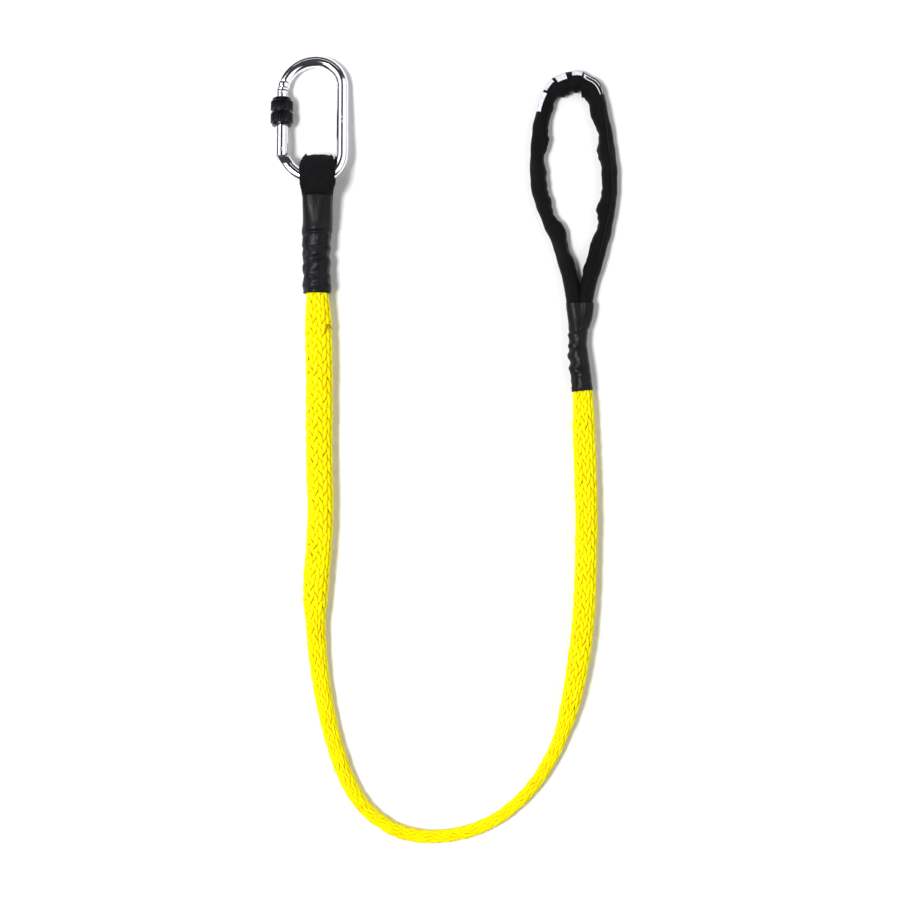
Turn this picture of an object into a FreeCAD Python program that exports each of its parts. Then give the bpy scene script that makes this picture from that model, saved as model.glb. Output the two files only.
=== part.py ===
import FreeCAD, Part
import math
import os
import re
import Sketcher

# Tow rope handle: a yellow hollow-braid rope with a screw-gate carabiner in its clip eye
# and a sleeved hand loop at the other end. It lies on a flat surface: X across, Y from the
# rope's bend towards the carabiner, Z up. Millimetres.

SIZES = [
    # carabiner, drawn flat round the rod's centre where the eye hangs
    ("rod_radius", 5.1),
    ("gate_side_bow", 28.2),
    ("spine_side_bow", 21.4),
    ("bow_distance", 98.8),
    ("carabiner_x", -104.9),
    ("carabiner_y", 35.0),
    ("carabiner_z", 17.0),
    ("carabiner_tilt", 6.9),
    ("heel_height", 18.0),
    ("pivot_height", 23.5),
    ("nose_height", 74.0),
    ("tongue_thickness", 4.0),
    ("tongue_half_width", 3.2),
    ("tongue_top", 4.0),
    ("rivet_radius", 1.3),
    ("latch_pin_radius", 1.2),
    ("latch_pin_height", 71.2),
    ("latch_clearance", 0.35),
    ("latch_lip_gap", 0.2),
    ("latch_lip", 1.0),
    ("dimple_height", 47.0),
    ("dimple_pitch", 3.6),
    ("dimple_radius", 0.9),
    ("dimple_depth", 0.5),
    ("bar_end_depth", 0.7),
    # gate and its lock
    ("gate_radius", 5.2),
    ("gate_end", 18.3),
    ("gate_tip", 73.4),
    ("slot_width", 4.4),
    ("hinge_slot_top", 29.0),
    ("latch_slot_bottom", 66.8),
    ("ring_line_height", 35.5),
    ("ring_line_depth", 0.25),
    ("spring_bore_radius", 1.75),
    ("spring_top", 52.0),
    ("plunger_radius", 1.5),
    ("plunger_shoulder", 33.0),
    ("plunger_stem_radius", 0.8),
    ("plunger_stem_top", 36.5),
    ("spring_wire", 0.5),
    ("spring_turns", 11),
    ("sleeve_bottom", 44.2),
    ("sleeve_length", 23.4),
    ("sleeve_bore", 5.5),
    ("sleeve_mouth_bore", 6.3),
    ("sleeve_mouth_depth", 4.2),
    ("sleeve_end_radius", 7.9),
    ("sleeve_band_radius", 9.2),
    ("sleeve_waist_radius", 8.1),
    ("sleeve_half_waist", 0.9),
    ("sleeve_rim", 2.6),
    ("sleeve_slope", 0.7),
    ("flute_count", 28),
    ("flute_radius", 0.45),
    ("ring_height", 55.8),
    ("ring_radius", 5.85),
    ("ring_wire_radius", 0.4),
    # clip eye and its heat shrink
    ("eye_x", -103.8),
    ("eye_half_width", 13.2),
    ("eye_half_thickness", 5.6),
    ("eye_hole_radius", 5.5),
    ("eye_end_y", 56.8),
    ("strand_half_width", 9.5),
    ("strand_half_thickness", 3.9),
    ("clip_mouth_y", 23.6),
    ("clip_step", 31.0),
    ("clip_shrink_length", 82.5),
    ("clip_shrink_radius", 12.5),
    ("clip_shrink_low_radius", 11.7),
    ("shrink_wall", 0.8),
    # rope
    ("clip_bury_radius", 10.6),
    ("rope_radius", 6.3),
    ("handle_bury_radius", 9.3),
    ("tail_radius", 5.6),
    ("thread_radius", 0.6),
    # hand loop and its heat shrink
    ("handle_x", 112.4),
    ("handle_mouth_y", -64.6),
    ("handle_end_y", -138.9),
    ("handle_z", 9.2),
    ("leg_radius", 5.2),
    ("leg_depth", 12.0),
    ("loop_radius", 6.7),
    ("loop_bore", 4.9),
    ("loop_strand_radius", 4.7),
    ("mark_thickness", 0.35),
    ("mark_arc", 62.0),
    ("seam_radius", 0.35),
]

doc = FreeCAD.newDocument("tow_rope_handle")
sheet = doc.addObject("Spreadsheet::Sheet", "Sizes")
for row, (alias, value) in enumerate(SIZES, start=1):
    sheet.set("A%d" % row, alias)
    sheet.set("B%d" % row, str(value))
    sheet.setAlias("B%d" % row, alias)
doc.recompute()

V = FreeCAD.Vector
X_AXIS, Y_AXIS, Z_AXIS = V(1, 0, 0), V(0, 1, 0), V(0, 0, 1)
nodes = []


def size(alias):
    return float(sheet.get(alias))


def cell(words):
    """The same expression with the sheet's name before each alias."""
    return re.sub(r"[a-z]\w+", lambda word: "Sizes." + word.group(0), words)


def value(words):
    """What an expression of aliases comes to."""
    return float(sheet.evalExpression(cell(words)))


# ---------------------------------------------------------------- places

CARABINER_PLACE = FreeCAD.Placement(
    V(size("carabiner_x"), size("carabiner_y"), size("carabiner_z")),
    FreeCAD.Rotation(X_AXIS, -size("carabiner_tilt")),
)
CLIP_END_Y = size("clip_mouth_y") - size("clip_shrink_length")
HOME = FreeCAD.Placement()


def keep(thing, name, place=HOME):
    """Name a finished sub-part, put it in its place and list it for export."""
    thing.Label = name
    thing.Placement = place
    nodes.append(thing)
    return thing


def feature(name, shape, place=HOME):
    """A sub-part whose shape is made with Part's own functions."""
    thing = doc.addObject("Part::Feature", name)
    thing.Shape = shape
    return keep(thing, name, place)


# ---------------------------------------------------------------- PartDesign helpers


def new_body(name):
    return doc.addObject("PartDesign::Body", name)


def origin_plane(body, role):
    return next(f for f in body.Origin.OriginFeatures if f.Role == role)


def sketch_on(body, name, role, height=0.0):
    """A sketch on one of the body's origin planes, lifted along the plane's normal."""
    sketch = body.newObject("Sketcher::SketchObject", name)
    sketch.AttachmentSupport = [(origin_plane(body, role), "")]
    sketch.MapMode = "FlatFace"
    sketch.AttachmentOffset = FreeCAD.Placement(V(0, 0, height), FreeCAD.Rotation())
    return sketch


def bind(sketch, kind, words, *where):
    """A sketch dimension bound to an expression of cells."""
    index = sketch.addConstraint(Sketcher.Constraint(kind, *where, value(words)))
    sketch.setExpression("Constraints[%d]" % index, cell(words))


def pin_down(sketch, geometry, point, across, up):
    """Hold one point of a sketch at two bound distances from its origin."""
    bind(sketch, "DistanceX", across, -1, 1, geometry, point)
    bind(sketch, "DistanceY", up, -1, 1, geometry, point)


def add_outline(sketch, corners):
    """A closed outline of straight edges through corners given as expressions."""
    spots = [V(value(across), value(up), 0) for across, up in corners]
    for start, end in zip(spots, spots[1:] + spots[:1]):
        sketch.addGeometry(Part.LineSegment(start, end), False)
    for line, (across, up) in enumerate(corners):
        before = len(corners) - 1 if line == 0 else line - 1
        sketch.addConstraint(Sketcher.Constraint("Coincident", before, 2, line, 1))
        pin_down(sketch, line, 1, across, up)


def add_circle(sketch, across, up, radius):
    """A circle bound to the cells, from expressions."""
    middle = V(value(across), value(up), 0)
    circle = sketch.addGeometry(Part.Circle(middle, Z_AXIS, value(radius)), False)
    bind(sketch, "Radius", radius, circle)
    pin_down(sketch, circle, 3, across, up)


def revolve(body, name, corners, base="Revolution"):
    """Turn an outline (radius, height) round the body's Y axis."""
    sketch = sketch_on(body, name + "_outline", "XY_Plane")
    add_outline(sketch, corners)
    turned = body.newObject("PartDesign::" + base, name)
    turned.Profile = sketch
    turned.ReferenceAxis = (sketch, ["V_Axis"])
    turned.Angle = 360
    doc.recompute()
    return turned


def pocket(body, name, draw, role="XY_Plane"):
    """Cut what draw puts in a sketch right through the body, both ways."""
    sketch = sketch_on(body, name + "_outline", role)
    draw(sketch)
    cut = body.newObject("PartDesign::Pocket", name)
    cut.Profile = sketch
    before = body.Shape.Volume
    cut.Type = "ThroughAll"
    cut.Midplane = True
    doc.recompute()
    if not body.Shape.Volume < before:
        raise SystemExit("%s cuts nothing" % name)
    return cut


def pocket_outline(body, name, corners, role="XY_Plane"):
    return pocket(body, name, lambda sketch: add_outline(sketch, corners), role)


def pocket_hole(body, name, across, up, radius, role="XY_Plane"):
    return pocket(body, name, lambda sketch: add_circle(sketch, across, up, radius), role)


# ---------------------------------------------------------------- Part helpers


def rounded_path(points, radii=None, show=""):
    """Straight runs joined by tangent arcs. Without radii each arc is as large as fits."""
    edges, start = [], points[0]
    for i in range(1, len(points) - 1):
        to_last = points[i - 1] - points[i]
        to_next = points[i + 1] - points[i]
        turn = math.pi - to_last.getAngle(to_next)
        reach = 0.45 * min(to_last.Length, to_next.Length)
        radius = reach / math.tan(turn / 2)
        if radii:
            radius = min(radius, radii[i - 1])
            reach = radius * math.tan(turn / 2)
        if show:
            print("%s point %d radius %.1f" % (show, i, radius))
        first = points[i] + to_last.normalize() * reach
        last = points[i] + to_next.normalize() * reach
        inward = (to_last + to_next).normalize()
        middle = points[i] + inward * (radius / math.cos(turn / 2) - radius)
        edges.append(Part.LineSegment(start, first).toShape())
        edges.append(Part.Arc(first, middle, last).toShape())
        start = last
    edges.append(Part.LineSegment(start, points[-1]).toShape())
    return edges


def ring_at(edge, at_end, radius):
    """A circle round the start or end of an edge, square to it."""
    where = edge.LastParameter if at_end else edge.FirstParameter
    point, along = edge.valueAt(where), edge.tangentAt(where)
    return Part.Wire([Part.Circle(point, along, radius).toShape()])


def parameter_at(edge, share):
    """The parameter at a share of an edge's length: even on lines and circular arcs."""
    return edge.FirstParameter + share * (edge.LastParameter - edge.FirstParameter)


def tube(edges, radius):
    """A round bar of one radius along the edges."""
    return Part.Wire(edges).makePipeShell([ring_at(edges[0], False, radius)], True, False)


def taper(edges, first_radius, last_radius, steps=6):
    """A round bar that changes radius evenly along the edges."""
    total = sum(edge.Length for edge in edges)
    rings, done = [], 0.0
    for number, edge in enumerate(edges):
        for step in range(0 if number == 0 else 1, steps + 1):
            share = (done + edge.Length * step / steps) / total
            radius = first_radius + (last_radius - first_radius) * share
            where = parameter_at(edge, step / steps)
            circle = Part.Circle(edge.valueAt(where), edge.tangentAt(where), radius)
            rings.append(Part.Wire([circle.toShape()]))
        done += edge.Length
    return Part.makeLoft(rings, True, True)


def joined(shapes):
    """One clean solid from several that meet."""
    shape = shapes[0].multiFuse(shapes[1:]) if len(shapes) > 1 else shapes[0]
    shape = shape.removeSplitter()
    if shape.ShapeType == "Compound" and len(shape.Solids) == 1:
        shape = shape.Solids[0]
    return shape


def cylinder(radius, start, end):
    """A round bar between two points."""
    return Part.makeCylinder(radius, (end - start).Length, start, end - start)


def oval_ring(centre, along, half_width, half_height):
    """An oval, wide along X, square to the direction along."""
    across = along.cross(X_AXIS)
    oval = Part.Ellipse(centre + X_AXIS * half_width, centre + across * half_height, centre)
    return Part.Wire([oval.toShape()])


# ---------------------------------------------------------------- carabiner frame


def frame_path_sketch(body):
    """The rod's centre line: nose, far bow, spine, near bow and heel."""
    quarter = math.pi / 2
    sketch = sketch_on(body, "rod_path", "XY_Plane")

    def arc(up, radius, first, last, upright_end):
        circle = Part.Circle(V(0, value(up), 0), Z_AXIS, value(radius))
        bow = sketch.addGeometry(Part.ArcOfCircle(circle, first, last), False)
        bind(sketch, "Radius", radius, bow)
        pin_down(sketch, bow, 3, "0", up)
        level_end = 3 - upright_end
        sketch.addConstraint(Sketcher.Constraint("Vertical", bow, upright_end, bow, 3))
        sketch.addConstraint(Sketcher.Constraint("Horizontal", bow, level_end, bow, 3))
        return bow

    arc("bow_distance - gate_side_bow", "gate_side_bow", quarter, 2 * quarter, 1)
    top = arc("bow_distance - spine_side_bow", "spine_side_bow", 0, quarter, 2)
    low = arc("spine_side_bow", "spine_side_bow", -quarter, 0, 1)
    arc("gate_side_bow", "gate_side_bow", 2 * quarter, 3 * quarter, 2)
    side = value("spine_side_bow")
    ends = V(side, value("bow_distance - spine_side_bow"), 0), V(side, side, 0)
    spine = sketch.addGeometry(Part.LineSegment(*ends), False)
    sketch.addConstraint(Sketcher.Constraint("Coincident", spine, 1, top, 1))
    sketch.addConstraint(Sketcher.Constraint("Coincident", spine, 2, low, 2))
    return sketch


def tongue(body, name, corners):
    """A flat tongue in the middle of the rod's thickness."""
    sketch = sketch_on(body, name + "_outline", "XY_Plane")
    add_outline(sketch, corners)
    pad = body.newObject("PartDesign::Pad", name)
    pad.Profile = sketch
    pad.Midplane = True
    pad.setExpression("Length", cell("tongue_thickness"))
    doc.recompute()


def make_carabiner_frame():
    body = new_body("carabiner_frame_body")
    path = frame_path_sketch(body)
    profile = sketch_on(body, "rod_section", "XZ_Plane")
    profile.setExpression("AttachmentOffset.Base.z", cell("gate_side_bow - bow_distance"))
    add_circle(profile, "-gate_side_bow", "0", "rod_radius")
    rod = body.newObject("PartDesign::AdditivePipe", "rod")
    rod.Profile = profile
    rod.Spine = path
    doc.recompute()

    # the rod between heel and nose is the gate's place
    outer, inner = "-gate_side_bow - rod_radius - 2", "-gate_side_bow + rod_radius + 2"
    heel, nose = "heel_height", "nose_height"
    pocket_outline(body, "gate_gap", [(outer, heel), (inner, heel), (inner, nose), (outer, nose)])

    left, right = "-gate_side_bow - tongue_half_width", "-gate_side_bow + tongue_half_width"
    root, top = "heel_height - 3", "pivot_height + tongue_top"
    tongue(body, "hinge_tongue", [(left, root), (right, root), (right, top), (left, top)])

    # the nose tongue hooks over the latch pin and is open towards the inside
    throat = "-gate_side_bow - latch_pin_radius - latch_clearance"
    lip_end = "-gate_side_bow - latch_lip_gap"
    lip = "latch_pin_height - latch_pin_radius - latch_clearance - latch_lip_gap"
    roof = "latch_pin_height + latch_pin_radius + latch_clearance"
    base = "nose_height + 3"
    tongue(
        body,
        "nose_tongue",
        [
            (left, base),
            (left, lip + " - latch_lip"),
            (lip_end, lip + " - latch_lip"),
            (lip_end, lip),
            (throat, lip),
            (throat, roof),
            (right, roof),
            (right, base),
        ],
    )
    pocket_hole(body, "rivet_hole", "-gate_side_bow", "pivot_height", "rivet_radius")
    # two plain dimples in the spine's upper face
    for number, height in enumerate(("dimple_height", "dimple_height + dimple_pitch"), start=1):
        dimple_sketch = sketch_on(body, "dimple_%d_outline" % number, "XY_Plane", size("rod_radius"))
        add_circle(dimple_sketch, "spine_side_bow", height, "dimple_radius")
        dimple = body.newObject("PartDesign::Pocket", "dimple_%d" % number)
        dimple.Profile = dimple_sketch
        dimple.setExpression("Length", cell("dimple_depth"))
        doc.recompute()
    return keep(body, "carabiner_frame", CARABINER_PLACE)


# ---------------------------------------------------------------- gate


def gate_place():
    """The gate's own Y axis lies on the gate line of the carabiner."""
    aside = FreeCAD.Placement(V(-size("gate_side_bow"), 0, 0), FreeCAD.Rotation())
    return CARABINER_PLACE.multiply(aside)


def draw_rounded_corner(sketch):
    """What is cut from the barrel's inner lower corner: the outside of a round about the rivet."""
    radius, pivot = size("gate_radius"), size("pivot_height")
    out, low = V(radius + 1, pivot, 0), V(0, pivot - radius - 1, 0)
    corner = V(out.x, low.y, 0)
    circle = Part.Circle(V(0, pivot, 0), Z_AXIS, radius)
    bend = sketch.addGeometry(Part.ArcOfCircle(circle, -math.pi / 2, 0), False)
    bind(sketch, "Radius", "gate_radius", bend)
    pin_down(sketch, bend, 3, "0", "pivot_height")
    sketch.addConstraint(Sketcher.Constraint("Vertical", bend, 1, bend, 3))
    sketch.addConstraint(Sketcher.Constraint("Horizontal", bend, 2, bend, 3))
    corners = [V(radius, pivot, 0), out, corner, low, V(0, pivot - radius, 0)]
    for start, end in zip(corners, corners[1:]):
        sketch.addGeometry(Part.LineSegment(start, end), False)
    for line in range(1, 5):
        sketch.addConstraint(Sketcher.Constraint("Coincident", line - 1, 2, line, 1))
    sketch.addConstraint(Sketcher.Constraint("Coincident", 4, 2, bend, 1))
    pin_down(sketch, 2, 1, "gate_radius + 1", "pivot_height")
    pin_down(sketch, 3, 1, "gate_radius + 1", "pivot_height - gate_radius - 1")
    pin_down(sketch, 4, 1, "0", "pivot_height - gate_radius - 1")


def make_gate_arm():
    body = new_body("gate_arm_body")
    revolve(
        body,
        "barrel",
        [
            ("0", "gate_end"),
            ("gate_radius", "gate_end"),
            ("gate_radius", "ring_line_height - ring_line_depth"),
            ("gate_radius - ring_line_depth", "ring_line_height"),
            ("gate_radius", "ring_line_height + ring_line_depth"),
            ("gate_radius", "gate_tip - 0.4"),
            ("gate_radius - 0.4", "gate_tip"),
            ("0", "gate_tip"),
        ],
    )
    # the slots run right across the barrel, for the frame's two tongues
    front, back = "-slot_width / 2", "slot_width / 2"
    for name, low, high in (
        ("hinge_slot", "gate_end - 1", "hinge_slot_top"),
        ("latch_slot", "latch_slot_bottom", "gate_tip + 1"),
    ):
        pocket_outline(body, name, [(low, front), (high, front), (high, back), (low, back)], "YZ_Plane")
    # the inner lower corner is round about the rivet, so the gate turns past the heel
    pocket(body, "round_corner", draw_rounded_corner)
    pocket_hole(body, "rivet_bore", "0", "pivot_height", "rivet_radius")
    pocket_hole(body, "pin_bore", "0", "latch_pin_height", "latch_pin_radius")
    bottom, top = "hinge_slot_top - 1", "spring_top + 0.1"
    revolve(
        body,
        "spring_bore",
        [("0", bottom), ("spring_bore_radius", bottom), ("spring_bore_radius", top), ("0", top)],
        "Groove",
    )
    return keep(body, "gate_arm", gate_place())


def cross_bar(name, radius, height):
    """A bar across the gate, as long as the barrel leaves room for."""
    bar = doc.addObject("Part::Cylinder", name + "_bar")
    bar.setExpression("Radius", cell(radius))
    bar.setExpression("Height", cell("2 * gate_radius - 2 * bar_end_depth"))
    doc.recompute()
    low = V(0, size(height), -bar.Height.Value / 2)
    return keep(bar, name, gate_place().multiply(FreeCAD.Placement(low, FreeCAD.Rotation())))


def make_spring_plunger():
    body = new_body("spring_plunger_body")
    foot = "pivot_height + tongue_top + 0.02"
    revolve(
        body,
        "plunger",
        [
            ("0", foot),
            ("plunger_radius", foot),
            ("plunger_radius", "plunger_shoulder"),
            ("plunger_stem_radius", "plunger_shoulder"),
            ("plunger_stem_radius", "plunger_stem_top"),
            ("0", "plunger_stem_top"),
        ],
    )
    return keep(body, "spring_plunger", gate_place())


def make_gate_spring():
    """A compression spring round the plunger's stem."""
    wire = size("spring_wire") / 2
    low = size("plunger_shoulder") + wire + 0.05
    high = size("spring_top") - wire - 0.05
    mean = size("plunger_radius") - wire
    pitch = (high - low) / size("spring_turns")
    helix = Part.makeHelix(pitch, high - low, mean)
    ring = Part.Circle(V(mean, 0, 0), V(0, mean, pitch / 2 / math.pi), wire)
    coil = Part.Wire(helix.Edges).makePipeShell([Part.Wire([ring.toShape()])], True, True)
    upright = FreeCAD.Placement(V(0, low, 0), FreeCAD.Rotation(X_AXIS, -90))
    return feature("gate_spring", coil, gate_place().multiply(upright))


# ---------------------------------------------------------------- screw lock


def make_lock_sleeve():
    """Two knurled bands with a waist between, and a wide mouth that goes over the nose."""
    body = new_body("lock_sleeve_body")
    low, top = "sleeve_bottom", "sleeve_bottom + sleeve_length"
    middle = "sleeve_bottom + sleeve_length / 2"
    end, band, waist = "sleeve_end_radius", "sleeve_band_radius", "sleeve_waist_radius"
    revolve(
        body,
        "sleeve_turning",
        [
            ("sleeve_bore", low),
            (end, low),
            (end, low + " + sleeve_rim - sleeve_slope"),
            (band, low + " + sleeve_rim"),
            (band, middle + " - sleeve_half_waist - sleeve_slope"),
            (waist, middle + " - sleeve_half_waist"),
            (waist, middle + " + sleeve_half_waist"),
            (band, middle + " + sleeve_half_waist + sleeve_slope"),
            (band, top + " - sleeve_rim - sleeve_slope"),
            (end, top + " - sleeve_rim"),
            (end, top + " - sleeve_slope"),
            (end + " - sleeve_slope", top),
            ("sleeve_mouth_bore", top),
            ("sleeve_mouth_bore", top + " - sleeve_mouth_depth"),
            ("sleeve_bore", top + " - sleeve_mouth_depth"),
        ],
    )
    inner, outer = "sleeve_bore - 0.2", "ring_radius + ring_wire_radius + 0.25"
    bottom, roof = "ring_height - 0.7", "ring_height + 0.7"
    revolve(
        body,
        "ring_groove",
        [(inner, bottom), (outer, bottom), (outer, roof), (inner, roof)],
        "Groove",
    )
    flute = pocket_hole(body, "flute", "sleeve_band_radius + 0.1", "0", "flute_radius", "XZ_Plane")
    pattern = body.newObject("PartDesign::PolarPattern", "knurl")
    pattern.Originals = [flute]
    pattern.Axis = (origin_plane(body, "Y_Axis"), [""])
    pattern.Angle = 360
    pattern.setExpression("Occurrences", cell("flute_count"))
    body.Tip = pattern
    doc.recompute()
    return keep(body, "lock_sleeve", gate_place())


def make_sleeve_stop_ring():
    ring = doc.addObject("Part::Torus", "sleeve_stop_ring_wire")
    ring.setExpression("Radius1", cell("ring_radius"))
    ring.setExpression("Radius2", cell("ring_wire_radius"))
    upright = FreeCAD.Placement(V(0, size("ring_height"), 0), FreeCAD.Rotation(X_AXIS, 90))
    return keep(ring, "sleeve_stop_ring", gate_place().multiply(upright))


# ---------------------------------------------------------------- clip eye


def eye_path():
    """The strand's centre line round the rod: lower leg, end bend, upper leg, neck."""
    x, rod_y, rod_z = size("eye_x"), size("carabiner_y"), size("carabiner_z")
    reach = size("eye_hole_radius") + size("eye_half_thickness")
    bend_y = size("eye_end_y") - reach - size("eye_half_thickness")
    mouth, neck = size("clip_mouth_y"), math.radians(58)
    low, high = rod_z - reach, rod_z + reach

    def round_rod(angle):
        return V(x, rod_y - reach * math.sin(angle), rod_z + reach * math.cos(angle))

    last = round_rod(neck)
    drop = (last.y - mouth + 2) / math.cos(neck)
    edges = [
        Part.LineSegment(V(x, mouth - 1, low), V(x, bend_y, low)).toShape(),
        Part.Arc(V(x, bend_y, low), V(x, bend_y + reach, rod_z), V(x, bend_y, high)).toShape(),
        Part.LineSegment(V(x, bend_y, high), V(x, rod_y, high)).toShape(),
        Part.Arc(V(x, rod_y, high), round_rod(neck / 2), last).toShape(),
        Part.LineSegment(last, last + V(0, -math.cos(neck), -math.sin(neck)) * drop).toShape(),
    ]
    return Part.Wire(edges)


def eye_bar(half_width, half_thickness):
    """An oval bar round the eye, cut square at the heat shrink's mouth."""
    path = eye_path()
    start = path.Edges[0].valueAt(path.Edges[0].FirstParameter)
    bar = path.makePipeShell([oval_ring(start, Y_AXIS, half_width, half_thickness)], True, True)
    box = Part.makeBox(60, 60, 80, V(size("eye_x") - 30, size("clip_mouth_y") - 60, -20))
    return bar.cut(box)


def swing_room():
    """The space that the curved rod sweeps as the carabiner swings about X."""
    clear = size("eye_hole_radius")
    gate, spine = size("gate_side_bow"), size("spine_side_bow")
    left, right = -17.0, 15.2

    def edge_radius(bow, x):
        return bow - math.sqrt((bow - clear) ** 2 - x**2)

    def point(bow, x):
        return V(x, edge_radius(bow, x), 0)

    outline = Part.Wire([
        Part.LineSegment(V(left, 0, 0), point(gate, left)).toShape(),
        Part.Arc(point(gate, left), point(gate, left / 2), point(gate, 0)).toShape(),
        Part.Arc(point(spine, 0), point(spine, right / 2), point(spine, right)).toShape(),
        Part.LineSegment(point(spine, right), V(right, 0, 0)).toShape(),
        Part.LineSegment(V(right, 0, 0), V(left, 0, 0)).toShape(),
    ])
    room = Part.Face(outline).revolve(V(0, 0, 0), X_AXIS, 360)
    room.translate(V(size("carabiner_x"), size("carabiner_y"), size("carabiner_z")))
    return room


def clip_axis(depth):
    """A point on the clip heat shrink's axis, at a depth below its mouth."""
    return V(size("eye_x"), size("clip_mouth_y") - depth, size("clip_shrink_radius"))


def throat_threads(centre_at, radius, depths):
    """Lock stitches: short threads straight across the splice."""
    threads = []
    for depth in depths:
        middle = centre_at(depth)
        reach = V(radius - 0.1, 0, 0)
        threads.append(cylinder(size("thread_radius"), middle - reach, middle + reach))
    return threads


CLIP_STITCHES = [40.0, 47.0, 54.0]


def make_clip_eye():
    inner = size("clip_shrink_radius") - size("shrink_wall") - 0.1
    step, length = size("clip_step"), size("clip_shrink_length")
    web = 1.8
    strand = joined([
        eye_bar(size("strand_half_width"), size("strand_half_thickness")),
        cylinder(inner - web, clip_axis(step), clip_axis(0)),
        cylinder(size("clip_bury_radius"), clip_axis(length), clip_axis(step)),
    ])
    webbing = joined([
        eye_bar(size("eye_half_width"), size("eye_half_thickness")),
        cylinder(inner, clip_axis(step), clip_axis(0)),
    ])
    room = swing_room()
    webbing = webbing.cut(strand).cut(room)
    threads = throat_threads(clip_axis, size("clip_bury_radius"), CLIP_STITCHES)
    tail = cylinder(size("tail_radius"), clip_axis(length + 1), clip_axis(length - 20))
    strand = strand.cut(room).cut(tail)
    for thread in threads:
        strand = strand.cut(thread)
    feature("clip_eye_strand", solid_of(strand))
    feature("clip_eye_webbing", solid_of(webbing))
    feature("clip_lock_stitching", Part.makeCompound(threads))


def solid_of(shape):
    """The largest solid of a shape, as a plain solid."""
    return max(shape.Solids, key=lambda solid: solid.Volume)


def make_clip_heat_shrink():
    """A shrunk tube: smooth over the webbing, then a step down onto the braid."""
    body = new_body("clip_heat_shrink_body")
    top, low = "clip_shrink_radius", "clip_shrink_low_radius"
    step, foot = "-clip_step", "-clip_shrink_length"
    revolve(
        body,
        "shrunk_tube",
        [
            (top + " - shrink_wall", "0"),
            (top, "0"),
            (top, step),
            (low, step + " - 3"),
            (low, foot + " + 2"),
            (low + " - 0.3", foot),
            (low + " - shrink_wall", foot),
            (low + " - shrink_wall", step + " - 3"),
            (top + " - shrink_wall", step),
        ],
    )
    return keep(body, "clip_heat_shrink", FreeCAD.Placement(clip_axis(0), FreeCAD.Rotation()))


# ---------------------------------------------------------------- rope

# the rope's route, from the clip heat shrink round the bend to the handle heat shrink
ROUTE = [
    (-103.8, -58.9, 12.5),
    (-102.6, -122.0, 10.9),
    (-103.4, -190.0, 10.9),
    (-101.0, -254.0, 10.8),
    (-107.0, -316.0, 10.6),
    (-102.6, -372.0, 6.6),
    (-92.2, -428.0, 6.7),
    (-71.0, -477.0, 6.6),
    (-40.0, -502.0, 6.7),
    (-4.0, -509.0, 6.6),
    (36.0, -499.0, 6.7),
    (71.0, -472.0, 6.6),
    (95.5, -434.0, 7.1),
    (109.8, -386.0, 9.0),
    (115.8, -331.0, 9.9),
    (117.8, -268.0, 9.5),
    (117.0, -203.0, 9.7),
    (114.4, -138.9, 9.2),
]


def route_edges():
    return rounded_path([V(*point) for point in ROUTE], show="rope")


def make_rope():
    """The braid: thick over the buried tail at each end, thin between."""
    edges = route_edges()
    clip, thin, handle = size("clip_bury_radius"), size("rope_radius"), size("handle_bury_radius")
    near = size("handle_bury_radius") - 0.9
    # two edges, a run and an arc, for each point of the route
    parts = [
        tube(edges[0:7], clip),
        taper(edges[7:9], clip, thin),
        tube(edges[9:24], thin),
        taper(edges[24:27], thin, handle),
        tube(edges[27:32], handle),
        taper(edges[32:], handle, near),
    ]
    expected = math.pi * sum(
        radius**2 * sum(edge.Length for edge in run)
        for radius, run in ((clip, edges[0:7]), (thin, edges[9:24]), (handle, edges[27:32]))
    )
    plain = sum(parts[i].Volume for i in (0, 2, 4))
    print("rope length %.1f" % sum(edge.Length for edge in edges))
    print("rope volume %.0f, section times length %.0f" % (plain, expected))
    for part in parts:
        low = min(point.z for point in part.tessellate(0.05)[0])
        print("  rope part volume %.0f valid %s low %.2f" % (part.Volume, part.isValid(), low))
    rope = joined(parts)
    tail = size("tail_radius")
    tail_start = clip_axis(size("clip_shrink_length") - 20)
    clip_tail = joined([cylinder(tail, tail_start, V(*ROUTE[0])), tube(edges[0:6], tail)])
    handle_tail = joined([tube(edges[29:], tail), handle_throat_tail()])
    ends = [
        Part.makeBox(60, 60, 60, V(size("eye_x") - 30, CLIP_END_Y, -20)),
        Part.makeBox(60, 60, 60, V(size("handle_x") - 30, size("handle_end_y"), -20)),
    ]
    for end in ends:
        rope = rope.cut(end)
    rope = rope.cut(clip_tail).cut(handle_tail)
    feature("rope", solid_of(rope))
    feature("clip_splice_tail", clip_tail)
    feature("handle_splice_tail", handle_tail)


# ---------------------------------------------------------------- handle

# the handle's heat shrink: depth below its mouth, place across, half width, half height
HANDLE_SHRINK = [
    (0.0, 112.4, 11.5, 6.9),
    (16.0, 111.8, 11.1, 7.0),
    (22.5, 110.7, 8.2, 7.9),
    (33.0, 110.2, 7.7, 7.6),
    (44.0, 110.5, 8.0, 7.9),
    (52.0, 111.3, 8.9, 8.8),
    (74.3, 114.4, 8.5, 8.4),
]


def handle_axis(depth):
    """A point on the handle heat shrink's axis, at a depth below its mouth."""
    y, z = size("handle_mouth_y") - depth, size("handle_z")
    for (low, x_low, *_), (high, x_high, *_) in zip(HANDLE_SHRINK, HANDLE_SHRINK[1:]):
        if depth <= high:
            return V(x_low + (x_high - x_low) * (depth - low) / (high - low), y, z)


def handle_loft(shrink_by, first=0, last=None):
    rings = [
        oval_ring(handle_axis(depth), V(0, -1, 0), across - shrink_by, up - shrink_by)
        for depth, _, across, up in HANDLE_SHRINK[first:last]
    ]
    return Part.makeLoft(rings, True, True)


def handle_throat_tail():
    return cylinder(size("tail_radius"), handle_axis(50), V(*ROUTE[-1]))


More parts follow.
